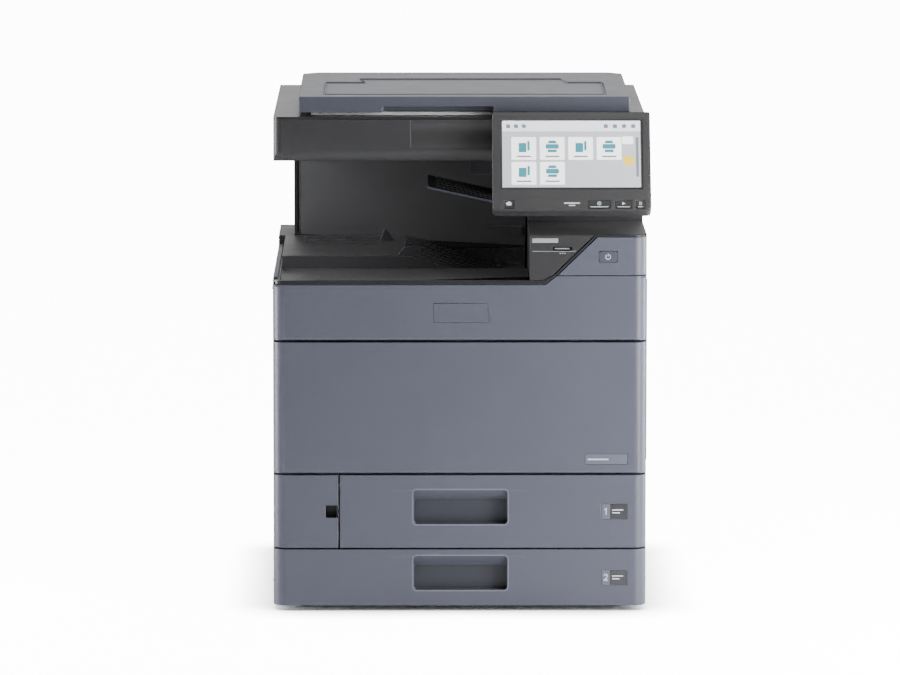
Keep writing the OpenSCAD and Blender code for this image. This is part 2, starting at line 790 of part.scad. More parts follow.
module status_light() color("white")
  block([light_x, y_face + 0.4, light_z], [light_x + light_w, y_face + 4, light_z + light_h]);

button_x = x_right - 60;
button_z = z_shelf - 33;
button_w = 28;
button_h = 17;

module power_panel() color(body_grey)
  intersection() {
    difference() {
      upright(y_face, y_face + small_t) polygon([
        [x_bay + 43, z_tc_top + toner_step + 1.2], [x_right + 1, z_tc_top + toner_step + 1.2],
        [x_right + 1, z_shelf - skin], [x_bay + 103.5, z_shelf - skin]]);
      block([button_x - button_w / 2 - rest_gap, y_face - 1, button_z - button_h / 2 - rest_gap],
            [button_x + button_w / 2 + rest_gap, y_face + 10, button_z + button_h / 2 + rest_gap]);
    }
    linear_extrude(z_top) body_plan(y_rear);
  }

module power_button() color(pale_grey)
  upright(y_face - 0.6, y_face + 7)
    round_rect(button_x - button_w / 2, button_z - button_h / 2,
               button_x + button_w / 2, button_z + button_h / 2, 4);

// ---- Scanner ----

scan_r = 12;
front_t = 16;                          // the scanner's thick, scooped front wall

module scan_plan(inset = 0)
  plan(x_left + inset, x_right - inset, y_scan + inset, y_rear - inset,
       scan_r - inset, scan_r - inset);

module scanner_housing() color("#34353c") {
  difference() {
    translate([0, 0, z_scan]) linear_extrude(scanner_h - skin) scan_plan();
    block([x_in, y_scan + front_t, z_scan + skin], [x_out, y_out, z_top]);
    // Chamfer under the front edge
    along_x(x_left - 1, x_right + 1) polygon([
      [y_scan - 1, z_scan - 1], [y_scan + 9, z_scan - 1], [y_scan, z_scan + 14],
      [y_scan - 1, z_scan + 14]]);
    // Scoop along the right part of the front
    bar_x(34, x_left + 212, x_right + 1, y_scan - 26, z_scan + 43);
  }
  // Rails for the carriages
  for (y = [y_scan + front_t + 6, y_out - 26])
    block([x_in, y, z_scan + skin - eps], [x_out, y + 14, z_scan + 9]);
}

module scanner_top() color("#2a2b31")
  difference() {
    translate([0, 0, z_top - skin]) linear_extrude(skin) scan_plan();
    block([x_glass + 3, y_glass + 3, z_top - skin - 1],
          [x_glass + glass_l - 3, y_glass + glass_w - 3, z_top + 1]);
  }

module platen_glass() color("#a8c4cc", 0.5)
  block([x_glass, y_glass, z_top - skin - 4], [x_glass + glass_l, y_glass + glass_w, z_top - skin]);

carriage_y0 = y_scan + front_t + 3;
carriage_y1 = y_out - 4;
carriage_z = z_scan + 9 + rest_gap;

// Full-speed carriage with its lamp slot
module lamp_carriage() color("#1a1a1d") {
  x0 = x_in + 42;
  difference() {
    block([x0, carriage_y0, carriage_z], [x0 + carriage_w, carriage_y1, z_top - 12]);
    block([x0 + 8, carriage_y0 + 20, z_top - 20], [x0 + 14, carriage_y1 - 20, z_top]);
    block([x0 - 1, carriage_y0 + 20, carriage_z + 6], [x0 + 22, carriage_y1 - 20, carriage_z + 20]);
  }
}

// Half-speed carriage that folds the light path
module mirror_carriage() color("#1a1a1d") {
  x0 = x_in + 4;
  difference() {
    block([x0, carriage_y0, carriage_z], [x0 + 30, carriage_y1, z_top - 16]);
    block([x0 + 12, carriage_y0 + 20, carriage_z + 5], [x0 + 31, carriage_y1 - 20, z_top - 24]);
  }
}

module cover_hinges() color("#2a2b31")
  for (x = hinge_xs) {
    block([x - 24, hinge_y - 12, z_top], [x + 24, hinge_y + 16, z_top + 2]);
    for (s = [-1, 1]) difference() {
      union() {
        block([x + s * 18 - 2.5, hinge_y - hinge_r, z_top + 1],
              [x + s * 18 + 2.5, hinge_y + hinge_r, hinge_z]);
        bar_x(hinge_r, x + s * 18 - 2.5, x + s * 18 + 2.5, hinge_y, hinge_z);
      }
      bar_x(hinge_pin + run_gap, x + s * 18 - 4, x + s * 18 + 4, hinge_y, hinge_z);
    }
  }

lid_cut = 22;

// Plan of the document cover: its rear corners are cut
module lid_plan(inset) {
  x0 = x_lid + inset;
  x1 = x_lid + lid_w - inset;
  y0 = y_lid + inset;
  y1 = y_lid + lid_d - inset;
  polygon([[x0, y0], [x1, y0], [x1, y1 - lid_cut], [x1 - lid_cut, y1], [x0 + lid_cut, y1],
           [x0, y1 - lid_cut]]);
}

module document_cover() color("#8c8ea4") {
  difference() {
    translate([0, 0, z_lid]) linear_extrude(lid_t) lid_plan(0);
    // Hollow underside, closed by the pad
    translate([0, 0, z_lid - 1]) linear_extrude(lid_t - 3) lid_plan(34);
    // Shallow recess in the top, wider at its middle
    translate([0, 0, z_lid + lid_t - 1.2]) linear_extrude(2) polygon([
      [x_lid + 39, y_lid + 36], [x_lid + lid_w - 37, y_lid + 36],
      [x_lid + lid_w - 37, y_lid + 246], [x_lid + lid_w - 90, y_lid + 246],
      [x_lid + lid_w - 100, y_lid + 306], [x_lid + 92, y_lid + 306],
      [x_lid + 101, y_lid + 246], [x_lid + 39, y_lid + 246]]);
    // Front grip under the lower edge
    block([x_lid + 130, y_lid - 1, z_lid - 1], [x_lid + 300, y_lid + 14, z_lid + 9]);
  }
  for (x = hinge_xs) {
    block([x - 15, y_lid + lid_d - 10, hinge_z - 6], [x + 15, hinge_y, hinge_z + 6]);
    bar_x(hinge_r, x - 15, x + 15, hinge_y, hinge_z);
    bar_x(hinge_pin, x - 20.5, x + 20.5, hinge_y, hinge_z);
  }
}

module cover_pad() color("white")
  block([x_glass - 8, y_glass - 10, z_top + rest_gap],
        [x_glass + glass_l + 8, y_glass + glass_w + 10, z_lid]);

// ---- Touch panel ----

// Places what is drawn flat onto the leaning panel
module on_panel()
  translate([x_panel, y_panel, z_panel]) rotate([90 - panel_lean, 0, 0]) children();

// The panel's section across its width: a slab with a round top edge
module panel_section() {
  translate([0, -panel_t]) square([pivot_v, panel_t]);
  translate([pivot_v, -pivot_r]) circle(pivot_r);
}

module panel_body()
  intersection() {
    along_x(0, panel_w) panel_section();
    translate([0, 0, -panel_t - 1]) linear_extrude(panel_t + 2)
      round_rect(0, 0, panel_w, panel_l + 1, 8);
  }

screen_x = (panel_w - screen_w) / 2;
screen_v = 37;
home_x = 18;
key_xs = [163, 200, 226];
key_ws = [33, 24, 12];

module control_panel() color(dark_grey)
  on_panel() difference() {
    union() {
      difference() {
        panel_body();
        translate([screen_x - 0.2, screen_v - 0.2, -3]) cube([screen_w + 0.4, screen_l + 0.4, 4]);
        // Hollow inside of the casing
        translate([12, 20, 3 - panel_t]) cube([panel_w - 24, panel_l - 50, panel_t - 10]);
        for (x = panel_notches) {
          translate([x, 0, 0]) notch();
        }
        translate([home_x, key_v, 0]) key_hole(home_w);
        for (i = [0:2]) translate([key_xs[i] - key_ws[i] / 2, key_v, 0]) key_hole(key_ws[i]);
      }
      for (x = panel_notches)
        translate([x - 4, pivot_v, -pivot_r]) rotate([0, 90, 0])
          cylinder(r = hinge_pin, h = notch_w + 8);
    }
  }

home_w = 14;

module key_hole(w)
  translate([-rest_gap, -rest_gap, -6]) cube([w + 2 * rest_gap, key_h + 2 * rest_gap, 7]);

// Room for one arm of the bracket, open to the back
module notch()
  along_x(0, notch_w) translate([pivot_v, -pivot_r]) {
    circle(arm_r + 0.8);
    rotate(panel_lean - 90) translate([-1, -15]) square([20, 30]);
  }

module touch_screen() color("#20242a")
  on_panel() translate([screen_x, screen_v, -3]) cube([screen_w, screen_l, 3]);

module key(x, w) color("#2c2d33")
  on_panel() translate([x, key_v, -4]) cube([w, key_h, 4.5]);

pivot_y = y_panel + pivot_v * sin(panel_lean) + pivot_r * cos(panel_lean);
pivot_z = z_panel + pivot_v * cos(panel_lean) - pivot_r * sin(panel_lean);
arm_r = 8.5;

module panel_arm() color(near_black)
  for (x = panel_notches) {
    x0 = x_panel + x + 0.5;
    x1 = x_panel + x + notch_w - 0.5;
    difference() {
      union() {
        bar_x(arm_r, x0, x1, pivot_y, pivot_z);
        block([x0, pivot_y, pivot_z - 6], [x1, y_scan, pivot_z + 6]);
        block([x0, y_scan - 2, z_top - 8], [x1, y_scan, pivot_z + 6]);
      }
      bar_x(hinge_pin + run_gap, x0 - 1, x1 + 1, pivot_y, pivot_z);
    }
  }

// ---- Inner units ----

module laser_unit() color("#3a3b40")
  block([x_wall_l + sheet, y_inner_back, z_laser], [x_wall_r, y_plate, z_laser + laser_h]);

module drum_units()
  for (x = drum_xs) {
    color("#2f7f6a") bar_y(drum_r, y_inner_back, y_plate, x, z_drum);
    color("#303136") block([x + 8, y_inner_back, z_laser + laser_h], [x + 62, y_plate, z_drum - 12]);
  }

module transfer_unit() color("#191a1c") {
  z = z_drum + drum_r + 0.3 + 17;
  x0 = x_left + 102;
  x1 = x_left + 412;
  difference() {
    union() {
      block([x0, y_inner_back, z - 17], [x1, y_plate, z + 17]);
      for (x = [x0, x1]) bar_y(17, y_inner_back, y_plate, x, z);
    }
    block([x0, y_inner_back + 12, z - 14], [x1, y_plate - 12, z + 14]);
  }
}

module fuser_housing() color("#45464c")
  difference() {
    block([x_wall_r - 72, column_y + 5, z_floor - 115], [x_wall_r, y_bay, z_floor - 48]);
    block([x_wall_r - 22, column_y + 12, z_floor - 116], [x_wall_r - 16, y_bay - 7, z_floor - 47]);
  }

// A toner bottle lying along Y, carried by its coupler at the rear
module toner_bottle(i) color(["#d8b400", "#b02a6b", "#1f86a8", "#2a2a2d"][i]) {
  x = bottle_xs[i];
  difference() {
    union() {
      bar_y(bottle_r, y_inner + 0.3, y_plate - 66, x, bottle_z);
      bar_y(14, y_plate - 67, y_plate - 6, x, bottle_z);
    }
    bar_y(coupler_r + run_gap, y_plate - 30, y_plate, x, bottle_z);
    // Grip across the front end
    difference() {
      bar_y(bottle_r - 5, y_inner - 1, y_inner + 9, x, bottle_z);
      block([x - 4, y_inner - 2, bottle_z - bottle_r], [x + 4, y_inner + 10, bottle_z + bottle_r]);
    }
  }
}

// ---- Right side unit ----

// Pocket of the side tray in the outside of the door
module tray_pocket(out, reach)
  block([x_pocket - out, mp_y0 - pocket_gap - out, mp_z0 - out],
        [x_door + reach, mp_y1 + pocket_gap + out, pocket_top + out]);

latch_y = door_y0 + 12;
latch_z = door_z1 - 100;
latch_d = 9;
latch_w = 22;
latch_h = 60;

// Hold for the fingers near the free edge
module latch_hold(out, reach)
  block([x_door - latch_d - out, latch_y - out, latch_z - out],
        [x_door + reach, latch_y + latch_w + out, latch_z + latch_h + out]);

module right_door() color(body_grey)
  difference() {
    union() {
      difference() {
        block([x_door - door_d, door_y0, door_z0], [x_door, door_y1, door_z1]);
        block([x_door - door_d - 1, door_y0 + wall, door_z0 + wall],
              [x_door - wall, door_y1 - wall, door_z1 - wall]);
      }
      tray_pocket(wall, 0);
      latch_hold(wall, 0);
    }
    tray_pocket(0, 1);
    latch_hold(0, 1);
    // Slot where sheets from the side tray enter
    block([x_pocket - wall - 1, mp_y0 + 20, mp_z0 + 20], [x_pocket + 1, mp_y1 - 20, mp_z0 + 30]);
    // Bores for the side tray's pins
    for (y = [mp_y0 - pocket_gap - wall - 1, mp_y1 + pocket_gap - 1])
      bar_y(mp_pin + run_gap, y, y + wall + 2, x_mp_pin, z_mp_pin);
  }

module mp_tray() color(body_grey) {
  difference() {
    union() {
      block([x_door - mp_t, mp_y0, z_mp_pin], [x_door, mp_y1, mp_z0 + mp_h]);
      bar_y(mp_t / 2, mp_y0, mp_y1, x_mp_pin, z_mp_pin);
    }
    // Shallow hollow that holds the extension, open at the top
    block([x_door - mp_t - 1, mp_y0 + 12, mp_z0 + 24], [x_door - 5, mp_y1 - 12, mp_z0 + mp_h + 1]);
  }
  bar_y(mp_pin, mp_y0 - 3, mp_y1 + 3, x_mp_pin, z_mp_pin);
}

module mp_extension() color(dark_grey)
  block([x_door - 9, mp_y0 + 12 + rest_gap, mp_z0 + 60],
        [x_door - 5 - rest_gap, mp_y1 - 12 - rest_gap, mp_z0 + mp_h - 2]);

// ---- The whole machine ----

base_frame();
feet();
side_walls();
left_cover();
right_front_cover();
right_rear_cover();
rear_cover();
power_inlet();
inner_cover();
tray_trim();
inner_tray();
separator_tray();
rear_tower();
right_column();
panel_shelf();
usb_panel();
status_light();
power_panel();
scanner_housing();
scanner_top();
platen_glass();
panel_arm();
cover_hinges();
laser_unit();
drum_units();
transfer_unit();
fuser_housing();
document_cover();
cover_pad();
lamp_carriage();
mirror_carriage();
control_panel();
touch_screen();
key(home_x, home_w);  // home_key
key(key_xs[0] - key_ws[0] / 2, key_ws[0]);  // stop_key
key(key_xs[1] - key_ws[1] / 2, key_ws[1]);  // start_key
key(key_xs[2] - key_ws[2] / 2, key_ws[2]);  // menu_key
power_button();
toner_cover();
front_cover();
switch_cover();
main_switch();
for (k = [1, 2]) {
  drawer_front(k);
  drawer_tray(k);
  side_guide(k, -1);
  side_guide(k, 1);
  end_guide(k);
}
right_door();
mp_tray();
mp_extension();
for (i = [0:3])
  toner_bottle(i);
exit_roller();
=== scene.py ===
import json
import math

import bmesh
import bpy
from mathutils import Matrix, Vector


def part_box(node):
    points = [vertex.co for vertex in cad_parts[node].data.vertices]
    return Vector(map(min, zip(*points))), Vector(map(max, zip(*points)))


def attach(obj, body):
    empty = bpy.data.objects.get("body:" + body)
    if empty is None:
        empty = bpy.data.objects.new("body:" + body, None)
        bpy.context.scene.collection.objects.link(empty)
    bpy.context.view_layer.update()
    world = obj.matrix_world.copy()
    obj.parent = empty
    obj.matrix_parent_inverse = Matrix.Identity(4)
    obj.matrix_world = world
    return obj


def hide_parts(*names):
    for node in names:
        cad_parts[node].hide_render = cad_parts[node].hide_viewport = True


# An office photocopier. Sizes are in millimetres through MM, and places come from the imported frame.
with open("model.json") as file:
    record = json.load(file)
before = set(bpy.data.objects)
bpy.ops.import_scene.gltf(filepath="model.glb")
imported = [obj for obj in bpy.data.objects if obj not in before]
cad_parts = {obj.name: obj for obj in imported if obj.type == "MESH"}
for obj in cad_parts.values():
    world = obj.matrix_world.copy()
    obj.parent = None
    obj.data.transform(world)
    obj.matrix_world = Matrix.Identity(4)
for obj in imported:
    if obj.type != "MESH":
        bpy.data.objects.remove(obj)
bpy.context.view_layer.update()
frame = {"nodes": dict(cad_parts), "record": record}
MM = 0.001
NODES = frame["nodes"]
SLOT_OF = {s["node"]: s["material_slot"] for s in frame["record"]["subparts"]}
BODY_OF = {n: b for b, ns in frame["record"]["behaviour"]["bodies"].items() for n in ns}


# ---- Camera, lights and floor ----

AMBIENT = 0.19                      # light that comes from all around
BACKDROP_GLOW = 14.0                # extra white of the backdrop, seen by the camera alone
FLOOR_GLOW = 13.0                   # the same for the floor
CONTACT_SHADE = 0.09                # metres over which the floor's glow fades near the machine: a painted contact shadow


def make_camera():
    data = bpy.data.cameras.new("camera")
    data.lens, data.sensor_width = 258.6, 36
    data.shift_x = 0.0178
    data.clip_start, data.clip_end = 0.1, 100
    camera = bpy.data.objects.new("camera", data)
    camera.location = (-0.0756, -10.144, 1.697)
    camera.rotation_euler = (math.pi / 2 - 0.1284, 0, -0.0035)
    bpy.context.scene.collection.objects.link(camera)
    bpy.context.scene.camera = camera


def soft_light(name, place, target, size, watts, colour=(1, 1, 1)):
    data = bpy.data.lights.new(name, "AREA")
    data.shape, data.size, data.size_y = "RECTANGLE", size[0], size[1]
    data.energy, data.color = watts, colour
    light = bpy.data.objects.new(name, data)
    light.location = place
    light.rotation_euler = (Vector(target) - Vector(place)).to_track_quat("-Z", "Y").to_euler()
    bpy.context.scene.collection.objects.link(light)


def make_lights():
    soft_light("right_strip", (1.2, -1.1, 0.75), (0.2, -0.25, 0.4), (0.6, 1.9), 56)
    soft_light("right_edge", (1.5, 0.2, 0.6), (0.28, -0.2, 0.35), (0.5, 1.6), 44)
    soft_light("left_strip", (-1.9, -0.1, 0.8), (-0.28, -0.25, 0.4), (0.6, 2.0), 80)
    soft_light("top_box", (0.2, -0.3, 3.0), (0, 0, 0.4), (2.4, 2.4), 22)
    soft_light("front_fill", (1.6, -3.6, 1.3), (0.2, 0, 0.4), (2.0, 1.8), 14)
    soft_light("back_fill", (0.3, 3.6, 2.2), (0, 0, 0.5), (2.6, 2.0), 30)
    world = bpy.data.worlds.new("studio")
    world.use_nodes = True
    net = Net(world.node_tree)
    seen = net.add("ShaderNodeLightPath").outputs["Is Camera Ray"]
    background = world.node_tree.nodes["Background"]
    background.inputs["Color"].default_value = (1, 1, 1, 1)
    strength = net.math("ADD", AMBIENT, net.math("MULTIPLY", seen, BACKDROP_GLOW))
    world.node_tree.links.new(strength, background.inputs["Strength"])
    bpy.context.scene.world = world


def make_floor():
    mesh = bpy.data.meshes.new("floor")
    far = 60
    mesh.from_pydata([(-far, -far, 0), (far, -far, 0), (far, far, 0), (-far, far, 0)], [], [(0, 1, 2, 3)])
    floor = bpy.data.objects.new("floor", mesh)
    bpy.context.scene.collection.objects.link(floor)
    material, net = new_material("floor_white")
    shader = net.principled(colour=(0.90, 0.90, 0.905), rough=0.8, Emission_Color=(1, 1, 1, 1))
    seen = net.add("ShaderNodeLightPath").outputs["Is Camera Ray"]
    # The floor's glow is cut where ambient occlusion finds the machine close by: a painted contact shadow.
    near = net.add("ShaderNodeAmbientOcclusion", {"samples": 12}, Distance=CONTACT_SHADE).outputs["AO"]
    glow = net.math("MULTIPLY", net.math("POWER", near, 3.0), net.math("MULTIPLY", seen, FLOOR_GLOW))
    material.node_tree.links.new(glow, shader.inputs["Emission Strength"])
    floor.data.materials.append(material)


# ---- Node building ----

class Net:
    """Adds nodes to one tree and joins them."""

    def __init__(self, tree):
        self.tree = tree

    def add(self, kind, settings=None, **inputs):
        node = self.tree.nodes.new(kind)
        for key, value in (settings or {}).items():
            setattr(node, key, value)
        for key, value in inputs.items():
            name = key.replace("_", " ")
            socket = next(s for s in node.inputs if s.name == name and s.enabled)
            if isinstance(value, bpy.types.NodeSocket):
                self.tree.links.new(value, socket)
            else:
                socket.default_value = value
        return node

    def math(self, operation, a, b):
        node = self.tree.nodes.new("ShaderNodeMath")
        node.operation = operation
        for socket, value in zip(node.inputs, (a, b)):
            if isinstance(value, bpy.types.NodeSocket):
                self.tree.links.new(value, socket)
            else:
                socket.default_value = value
        return node.outputs[0]

    def mix(self, share, a, b, blend="MIX"):
        node = self.tree.nodes.new("ShaderNodeMix")
        node.data_type, node.blend_type = "RGBA", blend
        for name, value in (("Factor_Float", share), ("A_Color", a), ("B_Color", b)):
            socket = next(s for s in node.inputs if s.identifier == name)
            if isinstance(value, bpy.types.NodeSocket):
                self.tree.links.new(value, socket)
            else:
                socket.default_value = value
        return next(s for s in node.outputs if s.identifier == "Result_Color")

    def group(self, tree, **inputs):
        node = self.tree.nodes.new("ShaderNodeGroup")
        node.node_tree = tree
        for key, value in inputs.items():
            if isinstance(value, bpy.types.NodeSocket):
                self.tree.links.new(value, node.inputs[key])
            else:
                node.inputs[key].default_value = value
        return node

    def principled(self, colour=None, rough=None, normal=None, **plain):
        shader = self.tree.nodes.new("ShaderNodeBsdfPrincipled")
        out = self.tree.nodes.new("ShaderNodeOutputMaterial")
        self.tree.links.new(shader.outputs[0], out.inputs[0])
        for name, value in (("Base Color", colour), ("Roughness", rough), ("Normal", normal)):
            if isinstance(value, bpy.types.NodeSocket):
                self.tree.links.new(value, shader.inputs[name])
            elif value is not None:
                shader.inputs[name].default_value = (*value, 1) if name == "Base Color" else value
        for key, value in plain.items():
            shader.inputs[key.replace("_", " ")].default_value = value
        return shader


def new_material(name):
    material = bpy.data.materials.new(name)
    material.use_nodes = True
    material.node_tree.nodes.clear()
    return material, Net(material.node_tree)


def new_group(name, inputs, outputs):
    tree = bpy.data.node_groups.new(name, "ShaderNodeTree")
    for label, kind, default in inputs:
        socket = tree.interface.new_socket(label, in_out="INPUT", socket_type=kind)
        socket.default_value = default
    for label, kind in outputs:
        tree.interface.new_socket(label, in_out="OUTPUT", socket_type=kind)
    net = Net(tree)
    return tree, net, net.add("NodeGroupInput"), net.add("NodeGroupOutput")


def join_out(tree, out, **values):
    for label, socket in values.items():
        tree.links.new(socket, out.inputs[label])


FLOAT, COLOUR = "NodeSocketFloat", "NodeSocketColor"


def grain_group():
    """Fine spark-eroded texture of moulded plastic: a height and a faint fleck."""
    tree, net, given, out = new_group(
        "moulded_grain", [("Size", FLOAT, 1.0), ("Fleck", FLOAT, 0.03)],
        [("Height", FLOAT), ("Tint", FLOAT)])
    place = net.add("ShaderNodeTexCoord").outputs["Object"]
    scale = net.math("DIVIDE", 1000, given.outputs["Size"])
    cells = net.add("ShaderNodeTexVoronoi", {"feature": "SMOOTH_F1"}, Vector=place, Scale=scale)
    fine = net.add("ShaderNodeTexNoise", Vector=place, Scale=net.math("MULTIPLY", scale, 1.7),
                   Detail=3.0, Roughness=0.6)
    height = net.math("ADD", cells.outputs["Distance"], net.math("MULTIPLY", fine.outputs[0], 0.8))
    tint = net.math("ADD", 1.0, net.math("MULTIPLY", net.math("SUBTRACT", fine.outputs[0], 0.5),
                                         given.outputs["Fleck"]))
    join_out(tree, out, Height=height, Tint=tint)
    return tree


def wear_group():
    """Edges rubbed lighter, broken up by noise."""
    tree, net, given, out = new_group(
        "rubbed_edges", [("Colour", COLOUR, (0.5, 0.5, 0.5, 1)), ("Rubbed", COLOUR, (0.7, 0.7, 0.7, 1)),
                         ("Amount", FLOAT, 0.3), ("Reach", FLOAT, 0.0012)],
        [("Colour", COLOUR), ("Mask", FLOAT)])
    round_normal = net.add("ShaderNodeBevel", {"samples": 4}, Radius=given.outputs["Reach"])
    plain_normal = net.add("ShaderNodeNewGeometry").outputs["Normal"]
    dot = net.add("ShaderNodeVectorMath", {"operation": "DOT_PRODUCT"})
    tree.links.new(round_normal.outputs[0], dot.inputs[0])
    tree.links.new(plain_normal, dot.inputs[1])
    edge = net.math("MULTIPLY", net.math("SUBTRACT", 1.0, dot.outputs["Value"]), 6.0)
    place = net.add("ShaderNodeTexCoord").outputs["Object"]
    patches = net.add("ShaderNodeTexNoise", Vector=place, Scale=38.0, Detail=4.0)
    broken = net.math("MULTIPLY", edge, net.math("MULTIPLY", patches.outputs[0], 1.6))
    mask = net.add("ShaderNodeClamp", Value=net.math("MULTIPLY", broken, given.outputs["Amount"])).outputs[0]
    colour = net.mix(mask, given.outputs["Colour"], given.outputs["Rubbed"])
    join_out(tree, out, Colour=colour, Mask=mask)
    return tree


def soil_group():
    """Dust on what faces up, and finger marks that change the gloss."""
    tree, net, given, out = new_group(
        "office_dust", [("Colour", COLOUR, (0.5, 0.5, 0.5, 1)), ("Dust", FLOAT, 0.05),
                        ("Gloss", FLOAT, 0.45), ("Marks", FLOAT, 0.08)],
        [("Colour", COLOUR), ("Roughness", FLOAT)])
    place = net.add("ShaderNodeTexCoord").outputs["Object"]
    cloud = net.add("ShaderNodeTexNoise", Vector=place, Scale=7.0, Detail=5.0, Roughness=0.62)
    smear = net.add("ShaderNodeTexNoise", Vector=place, Scale=22.0, Detail=3.0, Distortion=0.8)
    up = net.add("ShaderNodeSeparateXYZ", Vector=net.add("ShaderNodeTexCoord").outputs["Normal"])
    facing = net.add("ShaderNodeClamp", Value=up.outputs["Z"]).outputs[0]
    dust = net.math("MULTIPLY", net.math("MULTIPLY", facing, cloud.outputs[0]), given.outputs["Dust"])
    shade = net.math("MULTIPLY", net.math("SUBTRACT", cloud.outputs[0], 0.5), 0.12)
    toned = net.mix(dust, given.outputs["Colour"], (0.62, 0.61, 0.58, 1))
    value = net.add("ShaderNodeHueSaturation", Color=toned, Value=net.math("ADD", 1.0, shade))
    rough = net.math("ADD", given.outputs["Gloss"],
                     net.math("MULTIPLY", net.math("SUBTRACT", smear.outputs[0], 0.5),
                              given.outputs["Marks"]))
    rough = net.math("ADD", rough, net.math("MULTIPLY", dust, 1.5))
    join_out(tree, out, Colour=value.outputs[0], Roughness=rough)
    return tree


GRAIN, WEAR, SOIL = grain_group(), wear_group(), soil_group()


def linear(red, green, blue):
    """Scene-linear colour from everyday 0 to 255 values."""
    def one(v):
        v /= 255
        return v / 12.92 if v <= 0.04045 else ((v + 0.055) / 1.055) ** 2.4
    return (one(red), one(green), one(blue))


def plastic(name, colour, gloss=0.45, grain=1.0, depth=0.35, wear=0.25, dust=0.06, marks=0.1,
            fleck=0.05, **plain):
    """Moulded plastic with grain, rubbed edges, dust and finger marks."""
    material, net = new_material(name)
    base = (*colour, 1)
    rubbed = (*[min(c * 1.5 + 0.03, 1) for c in colour], 1)
    worn = net.group(WEAR, Colour=base, Rubbed=rubbed, Amount=wear)
    soiled = net.group(SOIL, Colour=worn.outputs["Colour"], Dust=dust, Gloss=gloss, Marks=marks)
    texture = net.group(GRAIN, Size=grain, Fleck=fleck)
    tinted = net.add("ShaderNodeHueSaturation", Color=soiled.outputs["Colour"],
                     Value=texture.outputs["Tint"])
    bump = net.add("ShaderNodeBump", Strength=depth, Distance=0.00012, Height=texture.outputs["Height"])
    net.principled(tinted.outputs[0], soiled.outputs["Roughness"], bump.outputs[0], **plain)
    return material


def metal(name, colour, gloss=0.35, spangle=6.0, brushed=(1, 1, 1)):
    """Galvanised or brushed sheet: large pale crystals or fine lines, in the sheet's plane."""
    material, net = new_material(name)
    place = net.add("ShaderNodeTexCoord").outputs["Object"]
    mapped = net.add("ShaderNodeMapping", Vector=place)
    mapped.inputs["Scale"].default_value = brushed
    cells = net.add("ShaderNodeTexVoronoi", Vector=mapped.outputs[0], Scale=1000 / spangle)
    tone = net.add("ShaderNodeSeparateColor", Color=cells.outputs["Color"]).outputs[0]
    soiled = net.group(SOIL, Colour=(*colour, 1), Dust=0.05, Gloss=gloss, Marks=0.12)
    tinted = net.add("ShaderNodeHueSaturation", Color=soiled.outputs["Colour"],
                     Value=net.math("ADD", 0.9, net.math("MULTIPLY", tone, 0.2)))
    rough = net.math("ADD", soiled.outputs["Roughness"], net.math("MULTIPLY", tone, 0.1))
    bump = net.add("ShaderNodeBump", Strength=0.1, Distance=0.0002, Height=tone)
    net.principled(tinted.outputs[0], rough, bump.outputs[0], Metallic=0.9)
    return material


def lit(name, colour, strength, gloss=0.3):
    """A part that glows, such as a display area or a light pipe, with a very fine texture."""
    material, net = new_material(name)
    texture = net.group(GRAIN, Size=0.5, Fleck=0.05)
    toned = net.add("ShaderNodeHueSaturation", Color=(*colour, 1), Value=texture.outputs["Tint"])
    shader = net.principled(toned.outputs[0], gloss, Emission_Strength=strength)
    net.tree.links.new(toned.outputs[0], shader.inputs["Emission Color"])
    return material


def clear(name, colour, gloss=0.03, alpha=1.0):
    """Glass with faint wiping marks."""
    material, net = new_material(name)
    soiled = net.group(SOIL, Colour=(*colour, 1), Dust=0.02, Gloss=gloss, Marks=0.04)
    net.principled(colour, soiled.outputs["Roughness"], Transmission_Weight=1.0, IOR=1.5, Alpha=alpha)
    return material


def make_finishes():
    """One finish for each material slot of the record."""
    return {
        "body_plastic": plastic("body_plastic", linear(76, 78, 91), gloss=0.4),
        "lid_plastic": plastic("lid_plastic", linear(64, 66, 77), gloss=0.42, grain=1.6, depth=0.5),
        "dark_plastic": plastic("dark_plastic", linear(40, 40, 42), gloss=0.45),
        "black_plastic": plastic("black_plastic", linear(27, 27, 29), gloss=0.36),
        "screen": plastic("screen", linear(30, 32, 36), gloss=0.12, depth=0.02, wear=0.1, dust=0.02,
                          Coat_Weight=0.6),
        "clear_glass": clear("clear_glass", (0.86, 0.93, 0.92)),
        "white_pad": plastic("white_pad", linear(235, 235, 232), gloss=0.7, grain=2.2, depth=0.5, dust=0.02),
        "steel": metal("steel", (0.62, 0.63, 0.65)),
        "light_pipe": lit("light_pipe", (0.3, 0.31, 0.33), 0.08),
        "guide_plastic": plastic("guide_plastic", linear(50, 110, 124), gloss=0.4),
        "toner_yellow": plastic("toner_yellow", linear(214, 176, 30), gloss=0.35),
        "toner_magenta": plastic("toner_magenta", linear(176, 48, 112), gloss=0.35),
        "toner_cyan": plastic("toner_cyan", linear(42, 134, 172), gloss=0.35),
        "toner_black": plastic("toner_black", linear(44, 44, 47), gloss=0.35),
        "drum": plastic("drum", linear(52, 120, 110), gloss=0.12, depth=0.02, wear=0.05, Coat_Weight=0.7),
        "rubber": plastic("rubber", linear(34, 34, 35), gloss=0.75, grain=0.7, depth=0.8, wear=0.35),
    }


